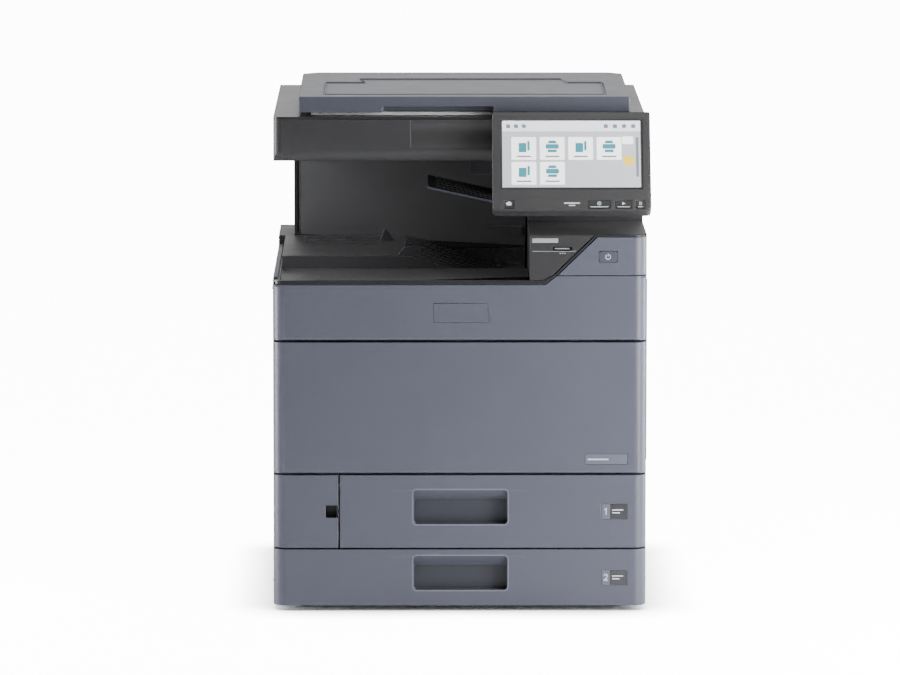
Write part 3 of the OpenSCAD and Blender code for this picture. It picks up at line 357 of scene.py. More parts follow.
FINISH = make_finishes()
# Finishes of the small details: print, labels, display, lamps and metals, with some finishes that are
# painted shade, painted light and painted highlights, as noted beside each.
DETAIL_FINISHES = {
    "ink_light": plastic("ink_light", linear(196, 199, 208), gloss=0.5, depth=0.05, wear=0.05),
    "ink_dark": plastic("ink_dark", linear(40, 42, 50), gloss=0.45, depth=0.05, wear=0.05),
    "label_plate": plastic("label_plate", linear(92, 95, 108), gloss=0.35, depth=0.1, wear=0.1),
    # pale edge lines; on the hand-hold rims this paleness is a painted highlight
    "pale_edge_and_painted_highlight": plastic("pale_edge_and_painted_highlight", linear(102, 105, 120), gloss=0.4, depth=0.15),
    # lighter copy of the dark plastic: painted light on the bay's back wall, which lies in shade under the
    # scanner
    "bay_wall_painted_light": plastic("bay_wall_painted_light", linear(92, 92, 95), gloss=0.5),
    # lighter than the dark plastic: painted light on the trays in the shaded output bay
    "tray_plastic_painted_light": plastic("tray_plastic_painted_light", linear(58, 58, 61), gloss=0.42),
    # grey of the exit guide wedge; the same finish makes the painted highlights on the tray's rib tops
    "wedge_grey": plastic("wedge_grey", linear(88, 89, 94), gloss=0.45),
    # painted shade, for the hand holds and the recess of the document cover
    "pocket_shade": plastic("pocket_shade", linear(46, 48, 58), gloss=0.5),
    "ui_ground": lit("ui_ground", linear(176, 178, 184), 0.75),
    "ui_bar": lit("ui_bar", linear(220, 222, 228), 0.95),
    "ui_tile": lit("ui_tile", linear(246, 247, 248), 1.25),
    "ui_teal": lit("ui_teal", linear(54, 128, 142), 0.6),
    "ui_grey": lit("ui_grey", linear(112, 118, 128), 0.5),
    "ui_yellow": lit("ui_yellow", linear(226, 190, 62), 0.8),
    "led_green": lit("led_green", linear(160, 176, 168), 0.45),
    "brass": metal("brass", (0.72, 0.56, 0.30), gloss=0.3, spangle=2.0),
    "mirror": metal("mirror", (0.86, 0.88, 0.9), gloss=0.06, spangle=20.0),
    "lamp_white": lit("lamp_white", linear(240, 242, 246), 0.3),
}
ALL_FINISHES = {**FINISH, **DETAIL_FINISHES}


# ---- Shapes ----

class Shape:
    """Gathers closed solids, in millimetres, into one mesh."""

    def __init__(self):
        self.mesh = bmesh.new()

    def prism(self, outline, near, far, place):
        """Pushes a flat outline from near to far; place turns (a, b, depth) into a point."""
        ends = [[self.mesh.verts.new(place(a, b, c)) for a, b in outline] for c in (near, far)]
        self.mesh.faces.new(ends[0])
        self.mesh.faces.new(ends[1][::-1])
        for i in range(len(outline)):
            j = (i + 1) % len(outline)
            self.mesh.faces.new((ends[0][i], ends[1][i], ends[1][j], ends[0][j]))
        return self

    def block(self, low, high):
        outline = [(low[0], low[1]), (high[0], low[1]), (high[0], high[1]), (low[0], high[1])]
        return self.prism(outline, low[2], high[2], lambda a, b, c: Vector((a, b, c)))

    def piece(self, name, finish, body, slot, bevel=0.0, steps=2, sharp=35):
        """Closes the shape into an object that rides on a body."""
        bmesh.ops.remove_doubles(self.mesh, verts=self.mesh.verts, dist=1e-5)
        bmesh.ops.recalc_face_normals(self.mesh, faces=self.mesh.faces)
        bmesh.ops.scale(self.mesh, vec=(MM, MM, MM), verts=self.mesh.verts)
        mesh = bpy.data.meshes.new(name)
        self.mesh.to_mesh(mesh)
        self.mesh.free()
        return settle(name, mesh, finish, body, bevel, steps, sharp)


def settle(name, mesh, finish, body, bevel=0.0, steps=2, sharp=35):
    """Links a mesh as a piece of the machine, with rounded edges where they are wanted."""
    piece = bpy.data.objects.new(name, mesh)
    bpy.context.scene.collection.objects.link(piece)
    mesh.materials.clear()
    mesh.materials.append(ALL_FINISHES[finish])
    mesh.shade_smooth()
    mesh.set_sharp_from_angle(angle=math.radians(sharp))
    if bevel:
        rounding = piece.modifiers.new("rounded_edges", "BEVEL")
        rounding.width, rounding.segments = bevel * MM, steps
        rounding.limit_method, rounding.angle_limit = "ANGLE", math.radians(sharp)
        rounding.use_clamp_overlap = False
        rounding.miter_outer = "MITER_ARC"
        shading = piece.modifiers.new("flat_faces_stay_flat", "WEIGHTED_NORMAL")
        shading.keep_sharp = True
        mesh.set_sharp_from_angle(angle=math.radians(180))
    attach(piece, body)
    return piece


# Nodes with louvres, wells or cut corners, whose flat faces are left in triangles
PIERCED = {"left_cover", "rear_cover", "right_rear_cover", "scanner_housing", "control_panel"}
# Nodes rounded on their outer edges only, so that what slides in their wells stays clear
OUTER_EDGES_ONLY = {"control_panel"}
# Nodes with a finish of their own within their material slot: a lighter plastic for the trays in the output
# bay, painted light where the bay lies in shade
OTHER_FINISH = {"inner_tray": "tray_plastic_painted_light", "separator_tray": "tray_plastic_painted_light"}


def soften(node, width, steps=2, sharp=32, finish=None):
    """Stands for a CAD node with the same shape and rounded edges."""
    work = bmesh.new()
    work.from_mesh(NODES[node].data)
    bmesh.ops.remove_doubles(work, verts=work.verts, dist=1e-6)
    bmesh.ops.dissolve_degenerate(work, edges=work.edges, dist=2e-6)
    if node not in PIERCED:
        bmesh.ops.dissolve_limit(work, angle_limit=math.radians(0.6), verts=work.verts, edges=work.edges)
    if node in OUTER_EDGES_ONLY:
        weights = work.edges.layers.float.new("bevel_weight_edge")
        for edge in work.edges:
            edge[weights] = float(edge.is_manifold and edge.is_convex
                                  and edge.calc_face_angle() > math.radians(sharp))
    mesh = bpy.data.meshes.new(node + "_moulded")
    work.to_mesh(mesh)
    work.free()
    slot = SLOT_OF[node]
    piece = settle(node + "_moulded", mesh, finish or slot, BODY_OF[node], width, steps, sharp)
    if node in OUTER_EDGES_ONLY:
        piece.modifiers["rounded_edges"].limit_method = "WEIGHT"
    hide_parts(node)
    return piece


def rounded(x0, z0, x1, z1, r, steps=6):
    """Outline of a rectangle with round corners."""
    corners = [(x1 - r, z0 + r, -90), (x1 - r, z1 - r, 0), (x0 + r, z1 - r, 90), (x0 + r, z0 + r, 180)]
    return [(x + r * math.cos(math.radians(start + 90 * i / steps)),
             z + r * math.sin(math.radians(start + 90 * i / steps)))
            for x, z, start in corners for i in range(steps + 1)]


def arc_band(x, z, inner, outer, start, end, steps=20):
    """Outline of a part of a ring."""
    turns = [math.radians(start + (end - start) * i / steps) for i in range(steps + 1)]
    return ([(x + outer * math.cos(t), z + outer * math.sin(t)) for t in turns]
            + [(x + inner * math.cos(t), z + inner * math.sin(t)) for t in reversed(turns)])


def box_mm(node):
    low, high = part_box(node)
    return low / MM, high / MM


# Planes of the machine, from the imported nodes
FACE = box_mm("front_cover")[0].y
LEFT, RIGHT = box_mm("front_cover")[0].x, box_mm("front_cover")[1].x
REAR = box_mm("rear_cover")[1].y
BAY_RIGHT = box_mm("right_column")[0].x
BAY_BACK = box_mm("rear_tower")[0].y
FLOOR_Z = box_mm("rear_tower")[0].z
TOWER_LEFT = LEFT + 25              # left side of the tower behind the output bay
RIB_PITCH = 37                      # between the flat ribs of the output tray
SHELF_TOP = box_mm("panel_shelf")[1].z
SCAN_LOW, SCAN_HIGH = box_mm("scanner_housing")[0], box_mm("scanner_top")[1]
PANEL_LEAN = math.radians(32.4)
PANEL_SLOPE = 172.8                 # length of the touch panel up its slope
PANEL_REACH = 35                    # how far its lower edge stands out from the front
PANEL_RISE = 13                     # how far its upper edge stands above the scanner
PANEL_AT = Vector((box_mm("control_panel")[0].x, FACE - PANEL_REACH,
                   SCAN_HIGH.z + PANEL_RISE - PANEL_SLOPE * math.cos(PANEL_LEAN)))


def on_face(depth_from=FACE):
    """Maps (x, z, out) to a point that stands out from an upright front plane."""
    return lambda a, b, c: Vector((a, depth_from - c, b))


def on_rear(depth_from=REAR):
    return lambda a, b, c: Vector((a, depth_from + c, b))


def on_top(level):
    return lambda a, b, c: Vector((a, b, level + c))


def on_panel(a, b, c):
    """Maps (across, up the slope, out) to a point on the touch panel."""
    return PANEL_AT + Vector((a, b * math.sin(PANEL_LEAN) - c * math.cos(PANEL_LEAN),
                              b * math.cos(PANEL_LEAN) + c * math.sin(PANEL_LEAN)))


# ---- Geometry Nodes for what repeats ----

class Rows(Net):
    """Geometry node trees, whose sizes are inputs of the modifier."""

    def __init__(self, name, inputs):
        tree = bpy.data.node_groups.new(name, "GeometryNodeTree")
        tree.interface.new_socket("Geometry", in_out="INPUT", socket_type="NodeSocketGeometry")
        for label, kind in inputs:
            tree.interface.new_socket(label, in_out="INPUT", socket_type=kind)
        tree.interface.new_socket("Geometry", in_out="OUTPUT", socket_type="NodeSocketGeometry")
        super().__init__(tree)
        self.given = self.add("NodeGroupInput")

    def finish(self, geometry):
        real = self.add("GeometryNodeRealizeInstances", Geometry=geometry)
        merged = self.add("GeometryNodeSetMaterial", Geometry=real.outputs[0],
                          Material=self.given.outputs["Material"])
        out = self.add("NodeGroupOutput")
        self.tree.links.new(merged.outputs[0], out.inputs[0])
        return self.tree


def bars_tree():
    """A straight row of equal bars."""
    net = Rows("row_of_bars", [("Count", "NodeSocketInt"), ("Start", "NodeSocketVector"),
                               ("Step", "NodeSocketVector"), ("Bar", "NodeSocketVector"),
                               ("Material", "NodeSocketMaterial")])
    given = net.given.outputs
    line = net.add("GeometryNodeMeshLine", Count=given["Count"], Start_Location=given["Start"],
                   Offset=given["Step"])
    bar = net.add("GeometryNodeMeshCube", Size=given["Bar"])
    copies = net.add("GeometryNodeInstanceOnPoints", Points=line.outputs[0], Instance=bar.outputs[0])
    return net.finish(copies.outputs[0])


def screws_tree():
    """A pan-head screw with a cross recess at each vertex of the mesh it is given."""
    net = Rows("cross_head_screws", [("Radius", "NodeSocketFloat"), ("Height", "NodeSocketFloat"),
                                     ("Turn", "NodeSocketVector"), ("Material", "NodeSocketMaterial")])
    given = net.given.outputs
    head = net.add("GeometryNodeMeshCone", Vertices=20, Side_Segments=1, Radius_Bottom=given["Radius"],
                   Radius_Top=net.math("MULTIPLY", given["Radius"], 0.72), Depth=given["Height"])
    long = net.math("MULTIPLY", given["Radius"], 1.1)
    thin = net.math("MULTIPLY", given["Radius"], 0.26)
    parts = []
    for x, y in ((long, thin), (thin, long)):
        size = net.add("ShaderNodeCombineXYZ", X=x, Y=y, Z=given["Height"])
        slot_cube = net.add("GeometryNodeMeshCube", Size=size.outputs[0])
        lift = net.add("ShaderNodeCombineXYZ", Z=net.math("MULTIPLY", given["Height"], 0.95))
        moved = net.add("GeometryNodeTransform", Geometry=slot_cube.outputs[0],
                        Translation=lift.outputs[0])
        parts.append(moved.outputs[0])
    cut = net.tree.nodes.new("GeometryNodeMeshBoolean")
    cut.operation = "DIFFERENCE"
    net.tree.links.new(head.outputs[0], cut.inputs[0])
    for part in parts:
        net.tree.links.new(part, cut.inputs[1])
    turned = net.add("GeometryNodeTransform", Geometry=cut.outputs[0])
    net.tree.links.new(given["Turn"], turned.inputs["Rotation"])
    copies = net.add("GeometryNodeInstanceOnPoints", Points=given["Geometry"],
                     Instance=turned.outputs[0])
    return net.finish(copies.outputs[0])


def rings_tree():
    """Equal round rings in a row along Y."""
    net = Rows("row_of_rings", [("Count", "NodeSocketInt"), ("Start", "NodeSocketVector"),
                                ("Step", "NodeSocketVector"), ("Radius", "NodeSocketFloat"),
                                ("Cord", "NodeSocketFloat"), ("Material", "NodeSocketMaterial")])
    given = net.given.outputs
    line = net.add("GeometryNodeMeshLine", Count=given["Count"], Start_Location=given["Start"],
                   Offset=given["Step"])
    path = net.add("GeometryNodeCurvePrimitiveCircle", Resolution=48, Radius=given["Radius"])
    section = net.add("GeometryNodeCurvePrimitiveCircle", Resolution=8, Radius=given["Cord"])
    ring = net.add("GeometryNodeCurveToMesh", Curve=path.outputs[0], Profile_Curve=section.outputs[0])
    upright = net.add("GeometryNodeTransform", Geometry=ring.outputs[0])
    upright.inputs["Rotation"].default_value = (math.pi / 2, 0, 0)
    copies = net.add("GeometryNodeInstanceOnPoints", Points=line.outputs[0],
                     Instance=upright.outputs[0])
    return net.finish(copies.outputs[0])


TREES = {"bars": bars_tree(), "screws": screws_tree(), "rings": rings_tree()}


def grown(name, tree, finish, body, slot, points=(), bevel=0.0, **sizes):
    """Runs a Geometry Nodes tree and keeps its result as a plain mesh on one body."""
    seed = bpy.data.meshes.new(name + "_points")
    seed.from_pydata([Vector(p) * MM for p in points], [], [])
    holder = bpy.data.objects.new(name + "_points", seed)
    bpy.context.scene.collection.objects.link(holder)
    modifier = holder.modifiers.new("grow", "NODES")
    modifier.node_group = TREES[tree]
    sizes["Material"] = ALL_FINISHES[finish]
    for item in TREES[tree].interface.items_tree:
        if item.in_out == "INPUT" and item.name in sizes:
            modifier[item.identifier] = sizes[item.name]
    bpy.context.view_layer.update()
    evaluated = holder.evaluated_get(bpy.context.evaluated_depsgraph_get())
    mesh = bpy.data.meshes.new_from_object(evaluated)
    holder.modifiers.clear()
    bpy.data.objects.remove(holder)
    return settle(name, mesh, finish, body, bevel)


def mm3(x, y, z):
    return (x * MM, y * MM, z * MM)


# ---- The moulded covers ----

EDGES = {
    "left_cover": 0.7, "right_front_cover": 0.7, "right_rear_cover": 0.7, "rear_cover": 0.7,
    "tray_trim": 0.6, "separator_tray": 0.5, "rear_tower": 1.0, "right_column": 1.2,
    "panel_shelf": 1.0, "usb_panel": 0.6, "power_panel": 0.7, "scanner_housing": 1.0,
    "scanner_top": 0.7, "panel_arm": 0.8, "cover_hinges": 0.8, "document_cover": 2.2,
    "cover_pad": 1.0, "control_panel": 1.6, "home_key": 0.6, "stop_key": 0.6, "start_key": 0.6,
    "menu_key": 0.6, "power_button": 0.5, "toner_cover": 0.9, "front_cover": 0.9,
    "switch_cover": 0.9, "drawer_front_1": 0.9, "drawer_front_2": 0.9, "drawer_tray_1": 0.6,
    "drawer_tray_2": 0.6, "mp_tray": 0.9, "mp_extension": 0.6,
    "front_guide_1": 0.6, "front_guide_2": 0.6, "rear_guide_1": 0.6, "rear_guide_2": 0.6,
    "end_guide_1": 0.6, "end_guide_2": 0.6, "feet": 1.0, "inner_cover": 0.4,
    "main_switch": 0.5, "inner_tray": 0.5, "toner_bottle_1": 1.5, "toner_bottle_2": 1.5,
    "toner_bottle_3": 1.5, "toner_bottle_4": 1.5, "power_inlet": 0.4, "fuser_housing": 0.8,
    "laser_unit": 1.2, "exit_roller": 0.5,
}


def dress_nodes():
    """Rounds every moulded node's edges and gives the rest their finish."""
    for node, width in EDGES.items():
        soften(node, width, finish=OTHER_FINISH.get(node))
    for node, body in NODES.items():
        if node not in EDGES:
            body.data.materials.clear()
            body.data.materials.append(FINISH[SLOT_OF[node]])


# ---- Touch panel ----

SCREEN = (13.35, 37, 229.35, 155)
KEY_TOP = 0.5


def screen_layout():
    """A plain generic screen: a status bar, tiles with simple signs and two buttons."""
    x0, v0, x1, v1 = SCREEN
    body, slot = "control_panel", "screen"
    film = Shape().prism(rounded(x0 + 2, v0 + 2, x1 - 2, v1 - 2, 1, 3), 0.02, 0.1, on_panel)
    film.piece("screen_ground", "ui_ground", body, slot)
    bars = Shape().prism(rounded(x0 + 2, v1 - 20, x1 - 2, v1 - 2, 1, 3), 0.1, 0.18, on_panel)
    bars.piece("screen_status_bar", "ui_bar", body, slot)
    tiles, signs, words, small = Shape(), Shape(), Shape(), Shape()
    wide, tall = 38, 39
    for row, count in ((0, 4), (1, 2)):
        for i in range(count):
            a = x0 + 16 + i * 43.6
            b = v1 - 30 - tall - row * 42.5
            tiles.prism(rounded(a, b, a + wide, b + tall, 2, 3), 0.1, 0.2, on_panel)
            centre, mid = a + wide / 2, b + 22
            if i % 2 == 0:
                signs.prism(rounded(centre - 8, mid - 9, centre + 4, mid + 7, 1.2, 3), 0.2, 0.26, on_panel)
                signs.prism(rounded(centre + 5.4, mid - 6, centre + 9, mid + 10, 1, 3), 0.2, 0.26, on_panel)
            else:
                signs.prism(rounded(centre - 10, mid - 3, centre + 10, mid + 5, 1.5, 3), 0.2, 0.26, on_panel)
                signs.prism([(centre - 7, mid + 6.2), (centre + 7, mid + 6.2), (centre + 5, mid + 11),
                             (centre - 5, mid + 11)], 0.2, 0.26, on_panel)
                signs.prism(rounded(centre - 7, mid - 9, centre + 7, mid - 4.4, 0.8, 3), 0.2, 0.26, on_panel)
            words.prism(rounded(a + 8, b + 4.5, a + wide - 8, b + 7, 0.8, 3), 0.2, 0.26, on_panel)
    for a in (x0 + 8, x0 + 20, x0 + 32, x1 - 58, x1 - 44, x1 - 30, x1 - 16):
        small.prism(rounded(a, v1 - 14.5, a + 6.5, v1 - 8, 1.4, 3), 0.18, 0.24, on_panel)
    small.prism(rounded(x1 - 9, v0 + 20, x1 - 5, v1 - 30, 1.5, 3), 0.1, 0.16, on_panel)
    tiles.prism(rounded(x1 - 30, v1 - 42, x1 - 13, v1 - 29, 2, 3), 0.1, 0.2, on_panel)
    tiles.piece("screen_tiles", "ui_tile", body, slot)
    signs.piece("screen_signs", "ui_teal", body, slot)
    words.piece("screen_word_bars", "ui_grey", body, slot)
    small.piece("screen_small_signs", "ui_grey", body, slot)
    Shape().prism(rounded(x1 - 29, v1 - 78, x1 - 12, v1 - 63, 2, 3), 0.1, 0.2, on_panel).piece(
        "screen_yellow_button", "ui_yellow", body, slot)


def screen_frame():
    """Thin seams under the display and above the key strip, and the mark at the strip's centre."""
    low, high = box_mm("control_panel")
    wide = high.x - low.x
    x0, v0, x1 = SCREEN[:3]
    seam = Shape().prism(rounded(3, 21, wide - 3, 21.9, 0.4, 2), 0, 0.12, on_panel)
    seam.prism(rounded(x0 - 3, v0 - 3.5, x1 + 3, v0 - 2.9, 0.3, 2), 0, 0.12, on_panel)
    seam.piece("panel_seams", "ink_dark", "control_panel", "black_plastic")
    mark = Shape().prism(rounded(wide / 2 - 12, 11, wide / 2 + 12, 13.2, 1, 3), 0, 0.12, on_panel)
    mark.prism(rounded(wide / 2 - 5, 7.4, wide / 2 + 5, 9, 0.7, 3), 0, 0.12, on_panel)
    mark.piece("panel_centre_mark", "ink_light", "control_panel", "light_pipe")


def key_signs():
    """Plain signs on the four keys, and their light bars."""
    top = KEY_TOP + 0.02

    def put(key, shape, finish, slot):
        shape.piece(key, finish, key.rsplit("_", 1)[0], slot)

    house = Shape().prism([(21.4, 8), (28.6, 8), (28.6, 11.4), (30, 11.4), (25, 15), (20, 11.4),
                           (21.4, 11.4)], top, top + 0.1, on_panel)
    put("home_key_sign", house, "ink_light", "black_plastic")
    stop = Shape().prism(arc_band(163, 11.3, 2.2, 3.1, 10, 350), top, top + 0.1, on_panel)
    stop.prism([(160.9, 9.6), (161.6, 9), (165.1, 13), (164.4, 13.6)], top, top + 0.1, on_panel)
    put("stop_key_sign", stop, "ink_light", "black_plastic")
    start = Shape().prism([(198, 8.6), (202.6, 11.3), (198, 14)], top, top + 0.1, on_panel)
    put("start_key_sign", start, "ink_light", "black_plastic")
    menu = Shape()
    for i in range(3):
        menu.prism(rounded(223.6, 8.6 + i * 2.1, 228.4, 9.5 + i * 2.1, 0.3, 2), top, top + 0.1, on_panel)
    put("menu_key_sign", menu, "ink_light", "black_plastic")
    for key, a, b in (("stop_key", 149, 177), ("start_key", 190.5, 209.5), ("menu_key", 222, 230)):
        bar = Shape().prism(rounded(a, 4.9, b, 6.2, 0.5, 3), top, top + 0.15, on_panel)
        bar.piece(key + "_light", "led_green", key, "light_pipe")


# ---- Front details ----

HOLD_X = LEFT + 215.6               # left end of both drawers' hand holds
HOLD_SIZE = (146, 54)               # width and height
HOLD_RISE = {1: 36.5, 2: 24}        # from each drawer front's lower edge
WINDOW_RISE = {1: 44.5, 2: 31.7}    # the size windows, from the same edges
WINDOW_IN = 68.4                    # from the right side to the size window

def numeral(which, x, z, h):
    """Outlines of a plain block numeral 1 or 2."""
    w = h * 0.58
    t = h * 0.15
    if which == 1:
        return [[(x + w * 0.42, z), (x + w * 0.42 + t, z), (x + w * 0.42 + t, z + h), (x + w * 0.42, z + h),
                 (x + w * 0.1, z + h * 0.8), (x + w * 0.1, z + h * 0.64), (x + w * 0.42, z + h * 0.8)]]
    r = w / 2
    arc = arc_band(x + r, z + h - r, r - t, r, 172, -38, 14)
    foot = [(x, z), (x + w, z), (x + w, z + t), (x + t * 1.5, z + t), (x + w * 0.92, z + h * 0.44),
            (x + w * 0.78, z + h * 0.54), (x, z + t)]
    return [arc, foot]


def hand_hold_painted_shade(k, x, z, w, h):
    """Painted shade: a darker plate on the back and floor of a drawer's hand hold, where the hold lies in
    shade.
    """
    shade = Shape().prism(rounded(x + 2.5, z + 0.6, x + w - 2.5, z + h - 17, 3.5, 6), 0, 0.3,
                          on_face(FACE + 19.9))
    shade.block((x + 5, FACE + 3, z + 0.03), (x + w - 5, FACE + 19.6, z + 0.25))
    shade.piece(f"handle_painted_shade_{k}", "pocket_shade", f"drawer_{k}", "body_plastic")


def drawer_marks(k):
    """The numbered size window on a drawer front, its handle rim, whose pale finish is a painted highlight,
    and the painted shade in its hand hold.
    """
    low = box_mm(f"drawer_front_{k}")[0]
    body = f"drawer_{k}"
    z0 = low.z + WINDOW_RISE[k]
    x0 = RIGHT - WINDOW_IN
    floor = on_face(FACE + 0.8)
    panel = Shape().prism(rounded(x0 + 0.4, z0 + 0.4, x0 + 12.4, z0 + 23.3, 0.8, 3), 0, 0.55, floor)
    panel.piece(f"size_number_plate_{k}", "label_plate", body, "lid_plastic", bevel=0.15)
    window = Shape().prism(rounded(x0 + 13.2, z0 + 0.4, x0 + 38.6, z0 + 23.3, 0.8, 3), 0, 0.5, floor)
    window.piece(f"size_window_{k}", "screen", body, "screen", bevel=0.15)
    digit = Shape()
    for outline in numeral(k, x0 + 3.4, z0 + 7, 10.5):
        digit.prism(outline, 0.55, 0.68, floor)
    digit.piece(f"size_number_{k}", "ink_light", body, "lid_plastic")
    marks = Shape()
    for i, share in enumerate((0.9, 0.62)):
        marks.prism(rounded(x0 + 16, z0 + 13.5 - i * 4.4, x0 + 16 + 19 * share, z0 + 15.4 - i * 4.4, 0.5, 2),
                    0.5, 0.6, floor)
    marks.piece(f"size_bars_{k}", "ink_light", body, "lid_plastic")
    hold_z = low.z + HOLD_RISE[k]
    rim(f"handle_rim_{k}", body, HOLD_X, hold_z, *HOLD_SIZE)
    hand_hold_painted_shade(k, HOLD_X, hold_z, *HOLD_SIZE)


def rim(name, body, x, z, w, h):
    """A thin raised lip round a hand hold, whose pale finish is a painted highlight on the hold's edge."""
    shape = Shape()
    outer = rounded(x - 1.6, z - 1.6, x + w + 1.6, z + h + 1.6, 7.6, 8)
    inner = rounded(x + 0.3, z + 0.3, x + w - 0.3, z + h - 0.3, 5.7, 8)
    rings = [[shape.mesh.verts.new(on_face()(a, b, c)) for a, b in line]
             for line, c in ((outer, -0.2), (outer, 0.25), (inner, 0.25), (inner, -0.9))]
    count = len(outer)
    for j in range(4):
        near, far = rings[j], rings[(j + 1) % 4]
        for i in range(count):
            k = (i + 1) % count
            shape.mesh.faces.new((near[i], near[k], far[k], far[i]))
    shape.piece(name, "pale_edge_and_painted_highlight", body, "body_plastic", sharp=60)


def plates():
    """The blank plate on the toner cover and the small label on the front cover."""
    low = box_mm("toner_cover")[0]
    x, z = LEFT + 246.8, low.z + 28
    Shape().prism(rounded(x + 0.4, z + 0.4, x + 83.5, z + 29.2, 1, 4), 0, 0.7, on_face(FACE + 0.8)).piece(
        "blank_plate", "body_plastic", "toner_cover", "body_plastic", bevel=0.25)
    low = box_mm("front_cover")[0]
    x, z = RIGHT - 94.5, low.z + 14.5
    Shape().prism(rounded(x + 0.4, z + 0.4, x + 65.1, z + 15.6, 0.8, 4), 0, 0.5, on_face(FACE + 0.6)).piece(
        "small_label", "label_plate", "front_cover", "lid_plastic", bevel=0.12)
    lines = Shape()
    lines.prism(rounded(x + 4, z + 6.6, x + 36, z + 8.8, 0.5, 2), 0.5, 0.58, on_face(FACE + 0.6))
    lines.piece("small_label_bars", "ink_light", "front_cover", "lid_plastic")


def shelf_details():
    """Signs and lights of the small panels beside the output bay."""
    low, high = box_mm("power_button")
    x, z = (low.x + high.x) / 2, (low.z + high.z) / 2
    place = on_face(low.y)
    sign = Shape().prism(arc_band(x, z, 3.2, 4.2, 122, 418, 24), 0, 0.15, place)
    sign.prism(rounded(x - 0.5, z + 1, x + 0.5, z + 5, 0.3, 2), 0, 0.15, place)
    sign.piece("power_button_sign", "ink_light", "power_button", "lid_plastic")
    low, high = box_mm("status_light")
    mid = (low.z + high.z) / 2
    lens = Shape().prism(rounded(low.x + 0.4, mid - 1.3, high.x - 0.4, mid + 1.3, 1, 4), 0, 0.35,
                         on_face(low.y))
    lens.piece("status_light_lens", "light_pipe", "frame", "light_pipe", bevel=0.2)
    dots = Shape()
    for i in range(3):
        dots.prism(arc_band(BAY_RIGHT + 46.4 + i * 3.6, SHELF_TOP - 27.6, 0.05, 0.75, 0, 359, 16), 0, 0.1,
                   on_face())
    dots.prism(rounded(BAY_RIGHT + 4, SHELF_TOP - 24.7, BAY_RIGHT + 70, SHELF_TOP - 24.3, 0.15, 2), 0, 0.06,
               on_face())
    dots.piece("socket_dots", "ink_light", "frame", "lid_plastic")
    tongue = Shape().block((BAY_RIGHT + 38, FACE + 3, SHELF_TOP - 21.6),
                           (BAY_RIGHT + 61, FACE + 10.9, SHELF_TOP - 19.6))
    tongue.piece("socket_tongue", "steel", "frame", "steel", bevel=0.2)


def bay_details():
    """Rails, lips and marks in the output bay, with painted light on its back wall and painted highlights on
    the tops of the tray's ribs.
    """
    edge = Shape().prism([(LEFT + 239, FLOOR_Z + 125.2), (BAY_RIGHT - 1, FLOOR_Z + 91.4),
                          (BAY_RIGHT - 1, FLOOR_Z + 94.6), (LEFT + 239, FLOOR_Z + 128.6)],
                         0, 1.4, on_face(FACE + 190))
    edge.piece("separator_front_edge", "pale_edge_and_painted_highlight", "frame", "body_plastic", bevel=0.4)
    # A lighter sheet over the dark back wall of the bay: painted light where little light reaches.
    painted_light_sheet = Shape().prism([(LEFT + 36, FLOOR_Z + 22), (BAY_RIGHT - 1, FLOOR_Z + 4),
                           (BAY_RIGHT - 1, SCAN_LOW.z - 3), (LEFT + 36, SCAN_LOW.z - 3)],
                          0, 0.4, on_face(BAY_BACK - 0.05))
    painted_light_sheet.piece("bay_back_painted_light", "bay_wall_painted_light", "frame", "dark_plastic")
    # Pale strips on the tops of the tray's flat ribs: painted highlights.
    grown("tray_rib_painted_highlights", "bars", "wedge_grey", "frame", "dark_plastic", Count=3,
          Start=mm3(LEFT + 103.5, FACE + 364, FLOOR_Z + 21.6), Step=mm3(0, RIB_PITCH, 0),
          Bar=mm3(115, 1.2, 0.2))
    line = Shape()
    x, z = BAY_RIGHT - 88, SCAN_LOW.z - 62
    for a, b, c, d in ((0, 0, 36, 1.2), (0, 22, 36, 23.2), (0, 0, 1.2, 23.2), (34.8, 0, 36, 23.2)):
        line.prism([(x + a, z + b), (x + c, z + b), (x + c, z + d), (x + a, z + d)], 0, 0.5,
                   on_face(BAY_BACK - 0.5))
    line.piece("bay_back_frame", "pale_edge_and_painted_highlight", "frame", "body_plastic")
    guide = Shape().prism([(BAY_RIGHT - 66, FLOOR_Z + 36), (BAY_RIGHT - 4, FLOOR_Z + 20),
                           (BAY_RIGHT - 4, FLOOR_Z + 36)], 0, 12, on_face(BAY_BACK - 4))
    guide.piece("exit_guide_wedge", "wedge_grey", "frame", "lid_plastic", bevel=0.8)
    rail = Shape().block((LEFT + 0.3, FACE + 26, FLOOR_Z + 3), (LEFT + 8, BAY_BACK - 2, FLOOR_Z + 6.5))
    rail.piece("bay_side_rail", "lid_plastic", "frame", "lid_plastic", bevel=1.0)


def platen_details():
    """Scales beside the glass, with ticks every 10 and 50 mm."""
    low, high = box_mm("platen_glass")
    top = SCAN_HIGH.z
    strips = Shape()
    strips.prism(rounded(low.x - 13, low.y - 2, low.x + 1.5, high.y + 2, 1, 3), 0, 0.22, on_top(top))
    strips.prism(rounded(low.x + 3, high.y - 1.5, high.x, high.y + 12, 1, 3), 0, 0.22, on_top(top))
    strips.piece("glass_scales", "white_pad", "frame", "white_pad")
    for name, count, step, length in (("fine", 30, 10, 3), ("long", 7, 50, 6)):
        grown(f"side_scale_{name}_ticks", "bars", "ink_dark", "frame", "black_plastic", Count=count,
              Start=mm3(low.x + 1 - length / 2, high.y - 2, top + 0.24), Step=mm3(0, -step, 0),
              Bar=mm3(length, 0.5, 0.06))
    for name, count, step, length in (("fine", 43, 10, 3), ("long", 9, 50, 6)):
        grown(f"rear_scale_{name}_ticks", "bars", "ink_dark", "frame", "black_plastic", Count=count,
              Start=mm3(low.x + 4, high.y - 1 + length / 2, top + 0.24), Step=mm3(step, 0, 0),
              Bar=mm3(0.5, length, 0.06))


